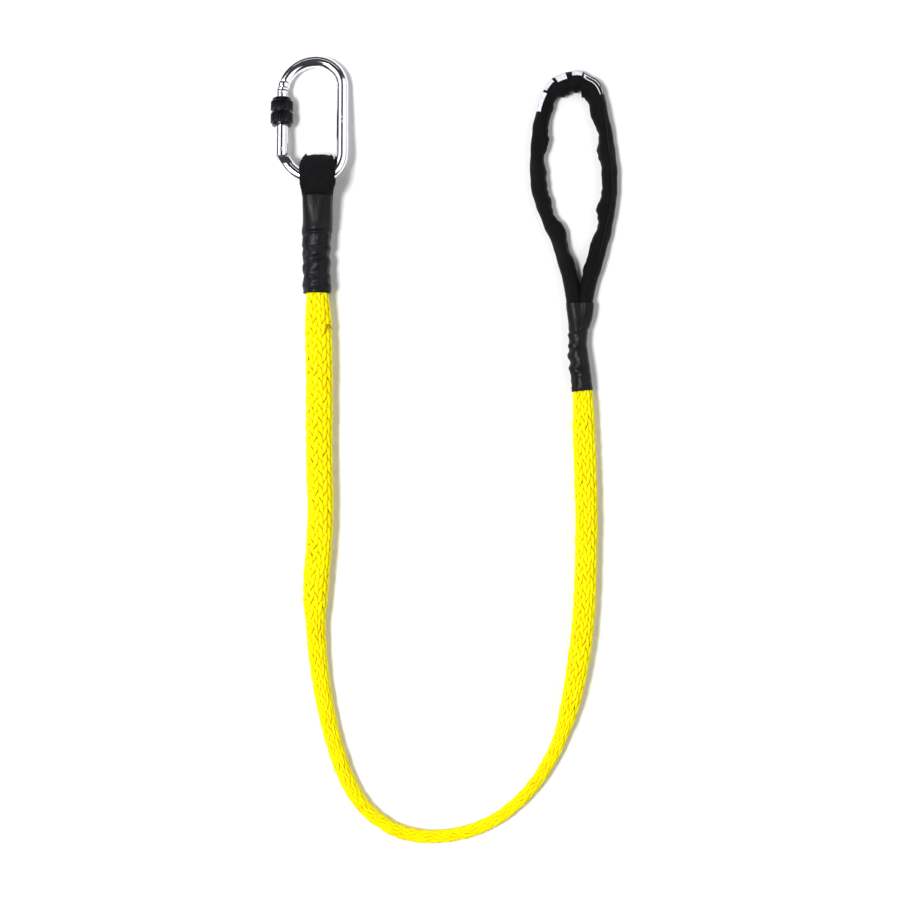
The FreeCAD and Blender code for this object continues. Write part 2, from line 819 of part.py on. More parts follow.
# the hand loop's centre line, from the left leg over the top to the right leg
LOOP = [
    (106.9, -64.6),
    (103.6, -43.0),
    (96.5, -20.0),
    (86.0, 6.0),
    (77.0, 31.0),
    (76.5, 58.0),
    (81.5, 88.0),
    (90.5, 108.5),
    (105.5, 119.0),
    (119.5, 109.5),
    (128.5, 89.0),
    (135.0, 52.0),
    (135.0, 14.0),
    (128.5, -20.0),
    (119.2, -43.0),
    (117.9, -64.6),
]


def loop_edges():
    z = size("loop_radius") + 0.1
    points = [V(x, y, z) for x, y in LOOP]
    points[0].z = points[-1].z = size("handle_z")
    return rounded_path(points, show="loop")


def leg_bars(radius, depth):
    """The two legs inside the heat shrink, leaning together towards the throat."""
    bars = []
    throat_depth, throat_x, *_ = HANDLE_SHRINK[1]
    for (x, y), aside in ((LOOP[0], -4.7), (LOOP[-1], 4.7)):
        lean = (throat_x + aside - x) * depth / throat_depth
        top = V(x, y, size("handle_z"))
        bars.append(cylinder(radius, top + V(lean, -depth, 0), top))
    return bars


HANDLE_STITCHES = [30.0, 36.0, 42.0]


def make_hand_loop():
    edges = loop_edges()
    depth, wall = size("leg_depth"), size("shrink_wall") + 0.1
    throat = handle_loft(wall + 0.05, 1)
    mouth = HANDLE_SHRINK[1][0] + 1
    inner = size("loop_strand_radius")
    strand = joined([tube(edges, inner), *leg_bars(inner, mouth), throat])
    leg, wide = size("leg_radius"), size("loop_radius")
    sleeve = joined([
        taper(edges[:2], leg, wide),
        tube(edges[2:-2], wide),
        taper(edges[-2:], wide, leg),
        *leg_bars(leg, depth),
    ])
    bore = joined([tube(edges, size("loop_bore")), *leg_bars(size("loop_bore"), depth + 1)])
    sleeve = sleeve.cut(bore)
    threads = throat_threads(handle_axis, HANDLE_SHRINK[3][2] - wall - 0.3, HANDLE_STITCHES)
    strand = strand.cut(handle_throat_tail())
    for thread in threads:
        strand = strand.cut(thread)
    feature("hand_loop_strand", solid_of(strand))
    feature("hand_loop_sleeve", solid_of(sleeve))
    feature("handle_lock_stitching", Part.makeCompound(threads))
    shell = handle_loft(0).cut(handle_loft(size("shrink_wall")))
    feature("handle_heat_shrink", solid_of(shell.cut([sleeve, strand])))
    return edges


def side_point(edge, radius, angle):
    """A point beside an edge's start: angle 0 is the loop's outer side, 90 is its top."""
    where = edge.FirstParameter
    along = edge.tangentAt(where)
    outward = Z_AXIS.cross(along).normalize()
    turn = math.radians(angle)
    return edge.valueAt(where) + outward * radius * math.cos(turn) + Z_AXIS * radius * math.sin(turn)


def mark_block(edge, first, last):
    """One printed block: a thin curved patch on the loop's outer upper side."""
    inner, outer = size("loop_radius") + 0.02, size("loop_radius") + size("mark_thickness")
    low, high = 8.0, 8.0 + size("mark_arc")
    piece = Part.Edge(edge.Curve, parameter_at(edge, first), parameter_at(edge, last))

    def at(radius, angle):
        return side_point(piece, radius, angle)

    middle = (low + high) / 2
    section = Part.Wire([
        Part.Arc(at(inner, low), at(inner, middle), at(inner, high)).toShape(),
        Part.LineSegment(at(inner, high), at(outer, high)).toShape(),
        Part.Arc(at(outer, high), at(outer, middle), at(outer, low)).toShape(),
        Part.LineSegment(at(outer, low), at(inner, low)).toShape(),
    ])
    return Part.Wire([piece]).makePipeShell([section], True, True)


def make_handle_marks(edges):
    """Plain light blocks along the top of the loop, two to an arc."""
    blocks = []
    for edge in (edges[11], edges[13], edges[15]):
        for first in (0.03, 0.55):
            blocks.append(mark_block(edge, first, first + 0.39))
    feature("handle_marks", Part.makeCompound(blocks))


def make_sleeve_seam(edges):
    """The raised seam thread along the top of the right leg."""
    lift = size("loop_radius") + size("seam_radius") + 0.02
    run = edges[19:27]
    raised = [edge.translated(V(0, 0, lift)) for edge in run]
    feature("hand_loop_seam", tube(raised, size("seam_radius")))


# ---------------------------------------------------------------- all of it

make_carabiner_frame()
make_gate_arm()
cross_bar("hinge_rivet", "rivet_radius - 0.05", "pivot_height")
cross_bar("latch_pin", "latch_pin_radius", "latch_pin_height")
make_spring_plunger()
make_gate_spring()
make_lock_sleeve()
make_sleeve_stop_ring()
make_clip_eye()
make_clip_heat_shrink()
make_rope()
loop = make_hand_loop()
make_handle_marks(loop)
make_sleeve_seam(loop)
doc.recompute()

for thing in doc.Objects:
    if "Invalid" in thing.State or "Error" in thing.State:
        raise SystemExit("%s failed: %s" % (thing.Name, thing.State))
for node in nodes:
    if node.Shape.isNull() or not node.Shape.isValid():
        raise SystemExit("%s has no valid shape" % node.Label)

os.makedirs("parts", exist_ok=True)
for node in nodes:
    node.Shape.exportStep("parts/%s.step" % node.Label)
    box = node.Shape.BoundBox
    reach = (box.XMin, box.XMax, box.YMin, box.YMax, box.ZMin, box.ZMax)
    print("%-24s %9.1f mm3" % (node.Label, node.Shape.Volume), "x %.1f %.1f y %.1f %.1f z %.1f %.1f" % reach)
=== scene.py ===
"""Looks of the tow rope handle: a braided rope, its carabiner and its sleeved hand loop."""

import math

import bmesh
import bpy
import numpy as np
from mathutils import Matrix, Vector


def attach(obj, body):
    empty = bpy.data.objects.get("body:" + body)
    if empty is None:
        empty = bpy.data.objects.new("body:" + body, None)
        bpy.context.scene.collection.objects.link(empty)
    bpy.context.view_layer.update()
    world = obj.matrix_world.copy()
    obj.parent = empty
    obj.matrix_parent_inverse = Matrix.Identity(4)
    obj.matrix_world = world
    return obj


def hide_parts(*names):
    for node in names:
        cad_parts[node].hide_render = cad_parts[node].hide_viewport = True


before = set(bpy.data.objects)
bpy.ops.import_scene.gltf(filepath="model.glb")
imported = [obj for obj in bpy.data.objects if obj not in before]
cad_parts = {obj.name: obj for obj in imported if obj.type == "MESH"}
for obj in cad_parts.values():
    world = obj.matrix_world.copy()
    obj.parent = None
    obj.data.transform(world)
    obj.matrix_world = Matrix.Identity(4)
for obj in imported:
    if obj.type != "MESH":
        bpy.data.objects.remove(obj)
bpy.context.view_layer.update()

MM = 0.001
CIRCLE = 2 * math.pi
FLOOR_GAP = 0.00015


def new_object(name, data):
    """An object with this data, linked into the scene."""
    made = bpy.data.objects.new(name, data)
    bpy.context.scene.collection.objects.link(made)
    return made


def hand_over(piece, body, cad):
    """Says which body the piece rides on, which CAD node it replaces."""
    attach(piece, body)
    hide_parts(cad)


# ---------------------------------------------------------------- camera, floor and lights


def make_camera():
    """A camera straight above the object, with the top of its picture towards Y."""
    lens = bpy.data.cameras.new("camera")
    lens.sensor_width = 36.0
    lens.lens = 86.9
    camera = new_object("camera", lens)
    camera.location = (0.0054, -0.1878, 1.8)
    bpy.context.scene.camera = camera


def make_light(name, place, width, height, power):
    """A soft light that is hidden from the camera and aimed at the object's middle."""
    light = bpy.data.lights.new(name, "AREA")
    light.shape = "RECTANGLE"
    light.size = width
    light.size_y = height
    light.energy = power
    lamp = new_object(name, light)
    lamp.location = place
    middle = Vector((0.0, -0.19, 0.0))
    look = middle - lamp.location
    lamp.rotation_euler = look.to_track_quat("-Z", "Y").to_euler()
    lamp.visible_camera = False


def make_studio():
    """A dim world, a soft light on each side, a small key light and a strip at the far end."""
    scene = bpy.context.scene
    scene.view_settings.view_transform = "Standard"
    world = bpy.data.worlds.new("studio")
    world.use_nodes = True
    background = world.node_tree.nodes["Background"]
    background.inputs["Color"].default_value = (0.9, 0.95, 1.0, 1.0)
    background.inputs["Strength"].default_value = 0.05
    scene.world = world
    make_light("left_softbox", (-1.97, 0.05, 2.26), 4.0, 2.3, 45.0)
    make_light("right_softbox", (2.41, 0.05, 1.95), 4.0, 3.7, 60.0)
    make_light("key", (-1.25, -0.34, 2.9), 0.8, 0.6, 80.0)
    make_light("far_strip", (0.0, 3.0, 2.6), 3.0, 0.3, 6.0)


def make_floor():
    """A white floor that reaches past every edge of the picture."""
    half = 15.0
    mesh = bpy.data.meshes.new("floor")
    corners = [(-half, -half, 0.0), (half, -half, 0.0), (half, half, 0.0), (-half, half, 0.0)]
    mesh.from_pydata(corners, [], [(0, 1, 2, 3)])
    floor = new_object("floor", mesh)
    mesh.materials.append(new_material("floor_white", (0.92, 0.92, 0.92), 0.9)[0])


# ---------------------------------------------------------------- material tools


def new_material(name, colour, roughness, metallic=0.0, specular=0.5):
    """A material with these plain values, and its nodes."""
    material = bpy.data.materials.new(name)
    material.use_nodes = True
    tree = material.node_tree
    shader = tree.nodes["Principled BSDF"]
    shader.inputs["Base Color"].default_value = (*colour, 1.0)
    shader.inputs["Roughness"].default_value = roughness
    shader.inputs["Metallic"].default_value = metallic
    shader.inputs["Specular IOR Level"].default_value = specular
    return material, tree, shader


def add(tree, kind, inputs=(), **settings):
    """A node with its settings, and its inputs linked or set."""
    made = tree.nodes.new(kind)
    for key, setting in settings.items():
        setattr(made, key, setting)
    for key, given in dict(inputs).items():
        if isinstance(given, bpy.types.NodeSocket):
            tree.links.new(given, made.inputs[key])
        else:
            made.inputs[key].default_value = given
    return made


def sums(tree, operation, first, second=0.0):
    """The result of one sum of the Math node."""
    made = add(tree, "ShaderNodeMath", {0: first, 1: second}, operation=operation)
    return made.outputs[0]


def place_of(tree, scale=(1.0, 1.0, 1.0)):
    """The point on the surface, in metres of the row frame at rest."""
    spot = add(tree, "ShaderNodeTexCoord").outputs["Object"]
    return add(tree, "ShaderNodeMapping", {"Vector": spot, "Scale": scale}).outputs["Vector"]


def lay_of(tree, scale):
    """The place in the piece's own lay: along it and across it, in millimetres."""
    spot = add(tree, "ShaderNodeUVMap", uv_map="lay").outputs["UV"]
    return add(tree, "ShaderNodeMapping", {"Vector": spot, "Scale": scale}).outputs["Vector"]


def noise(tree, vector, scale, detail):
    """Smooth noise of about 0 to 1."""
    inputs = {"Vector": vector, "Scale": scale, "Detail": detail, "Roughness": 0.55}
    return add(tree, "ShaderNodeTexNoise", inputs).outputs["Fac"]


def ramp(tree, factor, low, high, colours):
    """The first colour where the factor is low, turning into the second where it is high."""
    made = add(tree, "ShaderNodeValToRGB", {"Fac": factor})
    for stop, position, colour in zip(made.color_ramp.elements, (low, high), colours):
        stop.position = position
        stop.color = (*colour, 1.0)
    return made.outputs["Color"]


def spread(tree, factor, low, high):
    """A factor of 0 to 1 turned into a number from low to high."""
    inputs = {"Value": factor, "To Min": low, "To Max": high}
    return add(tree, "ShaderNodeMapRange", inputs).outputs["Result"]


def bump(tree, height, depth, strength, under=None):
    """A bump whose height of 1 stands for depth, in metres, on top of the bump under it."""
    made = add(tree, "ShaderNodeBump", {"Height": height, "Distance": depth, "Strength": strength})
    if under:
        tree.links.new(under, made.inputs["Normal"])
    return made.outputs["Normal"]


def wear(tree, shader, colour, roughness, normal):
    """Links the three sockets that vary over the surface."""
    for socket, given in (("Base Color", colour), ("Roughness", roughness), ("Normal", normal)):
        tree.links.new(given, shader.inputs[socket])


# ---------------------------------------------------------------- materials


def yellow_braid():
    """Yellow fibre with filaments along each strand, and painted brown shade where a strand dips
    under another.
    """
    # gap is a painted shade colour: the brown shade down in the hollows between the strands.
    light, dark, gap = (1.0, 0.94, 0.0), (0.97, 0.72, 0.0), (0.46, 0.25, 0.0)
    material, tree, shader = new_material("yellow_braid", light, 0.42, specular=0.06)
    filaments = noise(tree, lay_of(tree, (0.06, 3.2, 1.0)), 1.0, 3.0)
    cloudy = noise(tree, place_of(tree), 90.0, 3.0)
    fine, broad = sums(tree, "MULTIPLY", filaments, 0.55), sums(tree, "MULTIPLY", cloudy, 0.45)
    mixed = sums(tree, "ADD", fine, broad)
    fibre = ramp(tree, mixed, 0.36, 0.58, (dark, light))
    # Painted shade: where the crest attribute is low the colour turns to the brown gap shade; pieces
    # without the attribute are painted all in it.
    crest = add(tree, "ShaderNodeAttribute", attribute_name="crest").outputs["Fac"]
    rise = ramp(tree, crest, 0.52, 0.80, ((0.0, 0.0, 0.0), (1.0, 1.0, 1.0)))
    both = add(tree, "ShaderNodeMix", {"Factor": rise}, data_type="RGBA")
    both.inputs["A"].default_value = (*gap, 1.0)
    tree.links.new(fibre, both.inputs["B"])
    wear(
        tree,
        shader,
        both.outputs["Result"],
        spread(tree, filaments, 0.34, 0.54),
        bump(tree, filaments, 0.00018, 0.8),
    )
    return material


def heat_shrink():
    """Black shrunk plastic: satin, with a faint orange-peel skin."""
    material, tree, shader = new_material("heat_shrink", (0.008, 0.008, 0.009), 0.36, specular=0.12)
    spot = place_of(tree)
    blotch = noise(tree, spot, 60.0, 4.0)
    peel = noise(tree, spot, 1400.0, 3.0)
    folds = noise(tree, place_of(tree, (1.0, 0.45, 1.0)), 260.0, 3.0)
    skin = bump(tree, peel, 0.00006, 0.6)
    wear(
        tree,
        shader,
        ramp(tree, blotch, 0.3, 0.7, ((0.005, 0.005, 0.006), (0.011, 0.011, 0.013))),
        spread(tree, blotch, 0.30, 0.44),
        bump(tree, folds, 0.0005, 0.5, skin),
    )
    return material


def weave(tree, pitch_along, pitch_across):
    """The height of a plain weave, 0 to 1, from the piece's own lay."""
    lay = lay_of(tree, (1 / pitch_along, 1 / pitch_across, 1.0))
    parts = add(tree, "ShaderNodeSeparateXYZ", {0: lay})
    along, across = parts.outputs[0], parts.outputs[1]
    warp = sums(tree, "ABSOLUTE", sums(tree, "SINE", sums(tree, "MULTIPLY", along, math.pi)))
    weft = sums(tree, "ABSOLUTE", sums(tree, "SINE", sums(tree, "MULTIPLY", across, math.pi)))
    steps = sums(tree, "ADD", sums(tree, "FLOOR", along), sums(tree, "FLOOR", across))
    over = sums(tree, "FLOORED_MODULO", steps, 2.0)
    mixed = add(tree, "ShaderNodeMix", {"Factor": over, "A": warp, "B": weft}, data_type="FLOAT")
    return mixed.outputs[0]


def cloth(name, colour, pitch, depth, specular, roughness):
    """Black woven cloth: a weave with painted shade in its hollows and painted sheen on its crests,
    a fuzzy nap and faded patches.
    """
    material, tree, shader = new_material(name, colour, roughness, specular=specular)
    height = weave(tree, *pitch)
    spot = place_of(tree)
    patches = noise(tree, spot, 45.0, 4.0)
    nap = noise(tree, spot, 2600.0, 2.0)
    # Painted light: the weave's crests are painted paler, as sheen, and its hollows darker, as
    # shade.
    pale = tuple(1.7 * part + 0.001 for part in colour)
    weave_hollow_shade = tuple(0.35 * part for part in colour)
    # The colour follows the weave's height, as painted shade and sheen, scaled by the faded patches.
    weave_shade_and_patches = sums(tree, "MULTIPLY", height, sums(tree, "ADD", patches, 0.35))
    fuzz = bump(tree, nap, 0.00008, 0.7)
    wear(
        tree,
        shader,
        ramp(tree, weave_shade_and_patches, 0.12, 0.75, (weave_hollow_shade, pale)),
        spread(tree, patches, roughness - 0.08, roughness + 0.08),
        bump(tree, height, depth, 0.9, fuzz),
    )
    return material


def metal(name, colour, roughness, brushed, depth):
    """Turned or polished metal with fine lines and small scratches."""
    material, tree, shader = new_material(name, colour, roughness, metallic=1.0)
    lines = noise(tree, place_of(tree, brushed), 900.0, 2.0)
    marks = noise(tree, place_of(tree), 120.0, 5.0)
    pale = tuple(min(1.0, 1.06 * part) for part in colour)
    wear(
        tree,
        shader,
        ramp(tree, marks, 0.3, 0.7, (colour, pale)),
        spread(tree, lines, roughness * 0.7, roughness * 1.5),
        bump(tree, lines, depth, 0.4),
    )
    return material


def light_print():
    """Light ink, printed on cloth and a little cracked."""
    material, tree, shader = new_material("light_print", (0.80, 0.82, 0.86), 0.6, specular=0.3)
    height = weave(tree, 0.9, 0.9)
    cracks = noise(tree, place_of(tree), 700.0, 4.0)
    wear(
        tree,
        shader,
        ramp(tree, cracks, 0.3, 0.55, ((0.45, 0.47, 0.51), (0.84, 0.87, 0.92))),
        spread(tree, cracks, 0.5, 0.7),
        bump(tree, height, 0.0002, 0.7),
    )
    return material


# ---------------------------------------------------------------- mesh tools


def read_spline(name, points, order=3):
    """Points along the smooth NURBS line that has these control points, in metres."""
    curve = bpy.data.curves.new(name, "CURVE")
    curve.dimensions = "3D"
    curve.resolution_u = 24
    spline = curve.splines.new("NURBS")
    spline.points.add(len(points) - 1)
    for point, place in zip(spline.points, points):
        point.co = (*(part * MM for part in place), 1.0)
    spline.order_u = order
    spline.use_endpoint_u = True
    holder = bpy.data.objects.new(name, curve)
    mesh = bpy.data.meshes.new_from_object(holder)
    line = np.array([tuple(vertex.co) for vertex in mesh.vertices])
    bpy.data.objects.remove(holder)
    return line


class Line:
    """A line with its arc length, and a level side and an upper direction at each place."""

    def __init__(self, points):
        """Measures the line through these points."""
        self.points = points
        steps = np.linalg.norm(np.diff(points, axis=0), axis=1)
        self.places = np.concatenate([[0.0], np.cumsum(steps)])
        self.length = self.places[-1]

    def at(self, place):
        """Centres and frames at these lengths along the line; past its ends it runs straight on."""
        inside = np.clip(place, 0.0, self.length)
        reach = 1.5 * MM
        before, after = self.middle(inside - reach), self.middle(inside + reach)
        ahead = after - before
        ahead /= np.linalg.norm(ahead, axis=-1, keepdims=True)
        centre = self.middle(inside) + ahead * (place - inside)[..., None]
        side = np.cross(ahead, (0.0, 0.0, 1.0))
        side /= np.linalg.norm(side, axis=-1, keepdims=True)
        return centre, ahead, side, np.cross(side, ahead)

    def middle(self, place):
        """Points on the line at these lengths along it."""
        place = np.clip(place, 0.0, self.length)
        parts = [np.interp(place, self.places, self.points[:, axis]) for axis in range(3)]
        return np.stack(parts, axis=-1)


def round_turn(count):
    """Angles spread evenly round a whole turn."""
    return np.linspace(0.0, CIRCLE, count, endpoint=False)


def sheet_faces(rows, columns, closed, start=0):
    """Quads of a grid of vertices, in rows, closed round its columns or not."""
    row = np.arange(rows - 1)[:, None] * columns
    last = columns if closed else columns - 1
    column = np.arange(last)[None, :]
    right = (column + 1) % columns
    above = row + columns
    quads = np.stack([row + column, row + right, above + right, above + column], axis=-1)
    return quads.reshape(-1, 4) + start


def tube_faces(rows, columns):
    """The faces of rings of vertices, with a cap on each end."""
    faces = sheet_faces(rows, columns, True).tolist()
    faces.append(list(range(columns))[::-1])
    faces.append(list(range((rows - 1) * columns, rows * columns)))
    return faces


def new_piece(name, vertices, faces, material, lay):
    """A smooth mesh object. lay is each vertex's place along and across it in mm, or None."""
    mesh = bpy.data.meshes.new(name)
    mesh.from_pydata(vertices.tolist(), [], [list(face) for face in faces])
    mesh.validate()
    mesh.polygons.foreach_set("use_smooth", [True] * len(mesh.polygons))
    if lay is not None:
        corners = np.empty(len(mesh.loops), dtype=np.int32)
        mesh.loops.foreach_get("vertex_index", corners)
        mesh.uv_layers.new(name="lay").data.foreach_set("uv", np.asarray(lay)[corners].ravel())
    mesh.materials.append(material)
    return new_object(name, mesh)


def skin(name, grid, material, lay=None, caps=True):
    """A piece from rings of points, with its two ends closed or left open."""
    rows, columns = grid.shape[:2]
    faces = tube_faces(rows, columns) if caps else sheet_faces(rows, columns, True).tolist()
    lay = None if lay is None else lay.reshape(-1, 2)
    return new_piece(name, grid.reshape(-1, 3), faces, material, lay)


def ripple(place, waves, seed):
    """A smooth wandering number of about -1 to 1. waves are its wavelengths."""
    chance = np.random.RandomState(seed)
    total = 0.0
    for wave in waves:
        total = total + np.sin(CIRCLE * (place / wave + chance.rand()))
    return total / len(waves) ** 0.5


def glide(place, keys):
    """A number that moves smoothly between (place, number) keys."""
    places, numbers = zip(*keys)
    straight = np.interp(place, places, numbers)
    reach = 6.0 * MM
    ways = [np.interp(place + shift * reach, places, numbers) for shift in (-1.0, -0.5, 0.5, 1.0)]
    return (straight + sum(ways)) / 5


def fade(place, start, end):
    """A share that rises smoothly from 0 at the start to 1 at the end."""
    share = np.clip((place - start) / (end - start), 0.0, 1.0)
    return share * share * (3 - 2 * share)


def hump(place, middle, width):
    """A smooth hump of height 1 at the middle."""
    return np.exp(-(((place - middle) / width) ** 2))


def corner_power(numbers, power):
    """Sines or cosines raised to a power with their signs kept, which squares a round section."""
    return np.sign(numbers) * np.abs(numbers) ** power


# ---------------------------------------------------------------- rope

ROUTE = [
    (-103.6, -58.9, 12.5),
    (-102.0, -122.0, 10.9),
    (-102.4, -190.0, 10.9),
    (-100.8, -254.0, 10.8),
    (-107.0, -316.0, 10.6),
    (-102.6, -372.0, 6.6),
    (-92.2, -428.0, 6.7),
    (-72.0, -479.0, 6.6),
    (-40.5, -503.4, 6.7),
    (-4.0, -508.7, 6.6),
    (36.0, -499.1, 6.7),
    (71.0, -471.5, 6.6),
    (94.6, -433.5, 7.1),
    (108.2, -385.5, 9.0),
    (115.6, -331.0, 9.9),
    (118.2, -268.0, 9.5),
    (117.2, -203.0, 9.7),
    (114.6, -138.9, 9.2),
]
ROPE_RADIUS = [
    (0.000, 9.4),
    (0.006, 9.8),
    (0.020, 11.2),
    (0.050, 11.5),
    (0.160, 11.2),
    (0.235, 10.9),
    (0.256, 10.4),
    (0.268, 8.5),
    (0.330, 7.4),
    (0.400, 6.9),
    (0.450, 5.9),
    (0.520, 5.6),
    (0.590, 5.4),
    (0.640, 6.2),
    (0.662, 8.2),
    (0.700, 9.5),
    (0.890, 9.7),
    (0.915, 9.0),
    (0.925, 8.1),
]
PULLED_STRAND = [
    (-98.0, -94.6, 19.0),
    (-97.6, -92.0, 21.2),
    (-95.8, -87.2, 20.4),
    (-94.5, -84.6, 19.4),
    (-93.1, -85.6, 17.2),
    (-92.3, -88.6, 13.2),
]
STRANDS = 8
STRAND_THICK = 2.3
STRAND_WAVE = 1.05
STRAND_FILL = 0.96
TURN_LENGTH = 112.5
STRAND_SINK = 1.1
CORE_SINK = 2.9
COLUMN_TURN = math.radians(14)


def rope_radius(place):
    """The radius over the strands, in millimetres."""
    return glide(place, ROPE_RADIUS)


def core_radius(place):
    """The radius of the plain core that closes the gaps between the strands."""
    return rope_radius(place) - CORE_SINK


def rope_turn(line):
    """How far the strands have turned about the rope, at each place along it."""
    place = np.linspace(-0.03, line.length + 0.03, 4000)
    lay = np.sqrt(TURN_LENGTH**2 - (CIRCLE * rope_radius(place)) ** 2) * MM
    steps = CIRCLE / (0.5 * (lay[1:] + lay[:-1])) * np.diff(place)
    return place, np.concatenate([[0.0], np.cumsum(steps)]), lay


def on_rope(line, place, angle, radius):
    """Points round the rope. Angle 0 is the top and a quarter turn the right of its run."""
    centre, _, side, up = line.at(place)
    out = side * np.sin(angle)[..., None] + up * np.cos(angle)[..., None]
    points = centre + out * (radius * MM)[..., None]
    flattened = 0.0001 + 0.02 * points[..., 2]
    points[..., 2] = np.maximum(points[..., 2], flattened)
    return points


def strand_set(name, line, hand, material):
    """The strands of one hand, right or left, as flat ribbons that go over one and under one.

    Their attribute crest is low where a strand dips under another and high where it is on top.
    """
    places, turns, lays = rope_turn(line)
    start, end = -0.003, line.length + 0.003
    step, section_points = 0.8 * MM, 10
    count = int((end - start) / step)
    along = np.linspace(start, end, count)
    section = round_turn(section_points)
    radius = rope_radius(along)
    turn = np.interp(along, places, turns)
    pitch = np.interp(along, places, lays)
    lean = np.arctan2(CIRCLE * radius * MM, pitch)
    spacing = pitch / MM / STRANDS * np.sin(lean)
    core = radius - 0.5 * STRAND_THICK - STRAND_SINK
    crown = 0.5 * STRAND_THICK * corner_power(np.sin(section), 0.85)
    vertices, faces, lay, crests = [], [], [], []
    for number in range(STRANDS):
        wobble = 1.0 + 0.05 * ripple(along, (0.061, 0.023), 7 * number + 2 + int(hand))
        half = 0.5 * STRAND_FILL * spacing * wobble
        middle = hand * turn + CIRCLE * number / STRANDS + COLUMN_TURN
        across = half[:, None] * np.cos(section)
        place = along[:, None] - across * MM * np.sin(lean)[:, None]
        angle = middle[:, None] + hand * across * np.cos(lean)[:, None] / radius[:, None]
        lift = STRAND_WAVE * hand * np.cos(STRANDS * (angle - COLUMN_TURN))
        bulge = 0.22 * ripple(along, (0.047, 0.019), 40 + number + int(hand))
        height = core[:, None] + lift + crown + bulge[:, None]
        points = on_rope(line, place, angle, height)
        # The crest sets where the braid's material paints brown shade between the strands.
        crests.append((0.5 + 0.26 * (lift + 0.7 * crown)).ravel())
        faces.append(sheet_faces(count, section_points, True, number * count * section_points))
        vertices.append(points.reshape(-1, 3))
        run = np.repeat(along[:, None] / MM * 1.2 + 37.0 * number, section_points, axis=1)
        lay.append(np.stack([run, across + 11.0 * number], axis=-1).reshape(-1, 2))
    faces = np.concatenate(faces).tolist()
    piece = new_piece(name, np.concatenate(vertices), faces, material, np.concatenate(lay))
    crest = piece.data.attributes.new("crest", "FLOAT", "POINT")
    crest.data.foreach_set("value", np.concatenate(crests))
    return piece


def round_bar(name, line, radius, ends, material, columns=32, step=0.003):
    """A round bar along the line, of one radius or of a radius for each place."""
    along = np.linspace(*ends, max(2, int((ends[1] - ends[0]) / step)))
    place, angle = np.meshgrid(along, round_turn(columns), indexing="ij")
    radius = radius(place) if callable(radius) else radius + 0 * place
    lay = np.stack([place / MM, angle * radius], axis=-1)
    return skin(name, on_rope(line, place, angle, radius), material, lay)


def make_rope(yellow):
    """The braided rope from its clip to its hand loop, as one cord with its two splice tails."""
    line = Line(read_spline("rope_route", ROUTE))
    length = line.length
    bow = Line(read_spline("pulled_strand_route", PULLED_STRAND))
    # The core, the two tails and the pulled strand carry no crest attribute, so the braid's material
    # paints them all in its brown gap shade.
    core = round_bar("rope_core", line, core_radius, (-0.002, length + 0.002), yellow)
    right = strand_set("rope_strands_right", line, 1.0, yellow)
    left = strand_set("rope_strands_left", line, -1.0, yellow)
    clip_tail = round_bar("clip_tail", line, 4.6, (-0.020, 0.230), yellow)
    handle_tail = round_bar("handle_tail", line, 4.4, (0.740, length + 0.024), yellow)
    pulled = round_bar("pulled_strand", bow, 0.75, (0.0, bow.length), yellow, 12, 0.0004)
    for piece in (core, right, left, pulled, clip_tail, handle_tail):
        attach(piece, "line")
    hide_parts("rope")
    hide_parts("clip_splice_tail")
    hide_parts("handle_splice_tail")


# ---------------------------------------------------------------- heat shrinks


def shrink_grid(stations, relief, square):
    """Rings of a shrunk tube down the Y axis, with its lower rim turned in.

    Each station is (y, middle x, middle z, half width, half height) in millimetres. square is
    the power of the section at the mouth, and the depth where it has become an ellipse.
    """
    columns, step, wall = 120, 0.6, 0.8
    keys = np.array(stations)
    top, foot = keys[0, 0], keys[-1, 0]
    rows = np.linspace(top, foot, int((top - foot) / step))
    down = -keys[:, 0] * MM
    smooth = [glide(-rows * MM, list(zip(down, keys[:, part]))) for part in range(1, 5)]
    y, turn = np.meshgrid(rows, round_turn(columns), indexing="ij")
    across, up, half, tall = (part[:, None] for part in smooth)
    push = relief(top - y, turn)
    width, height = half + push, tall + push
    power = square[0] + (1 - square[0]) * fade(top - y, 0.0, square[1])
    sides, tops = corner_power(np.sin(turn), power), corner_power(np.cos(turn), power)
    grid = np.stack([across + width * sides, y, up + height * tops], axis=-1)
    rims = []
    for end, inward in ((0, 1.5), (-1, -1.5)):
        middle = np.array([smooth[0][end], rows[end] - 0.25 * inward, smooth[1][end]])
        ring = grid[end]
        lip = middle + (ring - middle) * (1 - wall / smooth[2][end])
        lip[:, 1] = ring[:, 1]
        inside = lip.copy()
        inside[:, 1] -= inward * 2
        rims.append((lip, inside))
    grid = np.concatenate([[rims[0][1], rims[0][0]], grid, [rims[1][0], rims[1][1]]])
    grid[..., 2] = np.maximum(grid[..., 2], FLOOR_GAP / MM)
    return grid * MM


def braid_relief(depth, turn, pitch, height):
    """What the braid under a shrunk tube presses into it: leaning lozenges."""
    right = np.cos(4 * turn + CIRCLE * depth / pitch)
    left = np.cos(4 * turn - CIRCLE * depth / pitch + 0.8)
    return height * (np.maximum(right, left) - 0.5)


def clip_relief(depth, turn):
    """Heights on the clip's shrink: plain at its mouth, then a crease, then folds over the braid."""
    lower = fade(depth, 30.0, 36.0)
    folds = 0.75 * ripple(depth + 7 * np.sin(turn + 0.5), (17.0, 11.0), 3)
    folds = folds * np.cos(turn - 0.7)
    crease = -1.1 * hump(depth + 2.4 * np.cos(turn - 0.3), 32.5, 1.3)
    crease = crease * fade(np.cos(turn - 0.25), -0.2, 0.5)
    brim = 0.5 * hump(depth + 2.0 * np.cos(turn), 29.0, 3.0)
    rumple = 0.32 * ripple(depth, (6.5, 9.0), 8) * np.sin(3 * turn + 0.15 * depth)
    soft = 0.12 * ripple(depth + 3 * turn, (23.0, 37.0), 5)
    return lower * (braid_relief(depth, turn, 25.0, 0.30) + folds + rumple) + crease + brim + soft


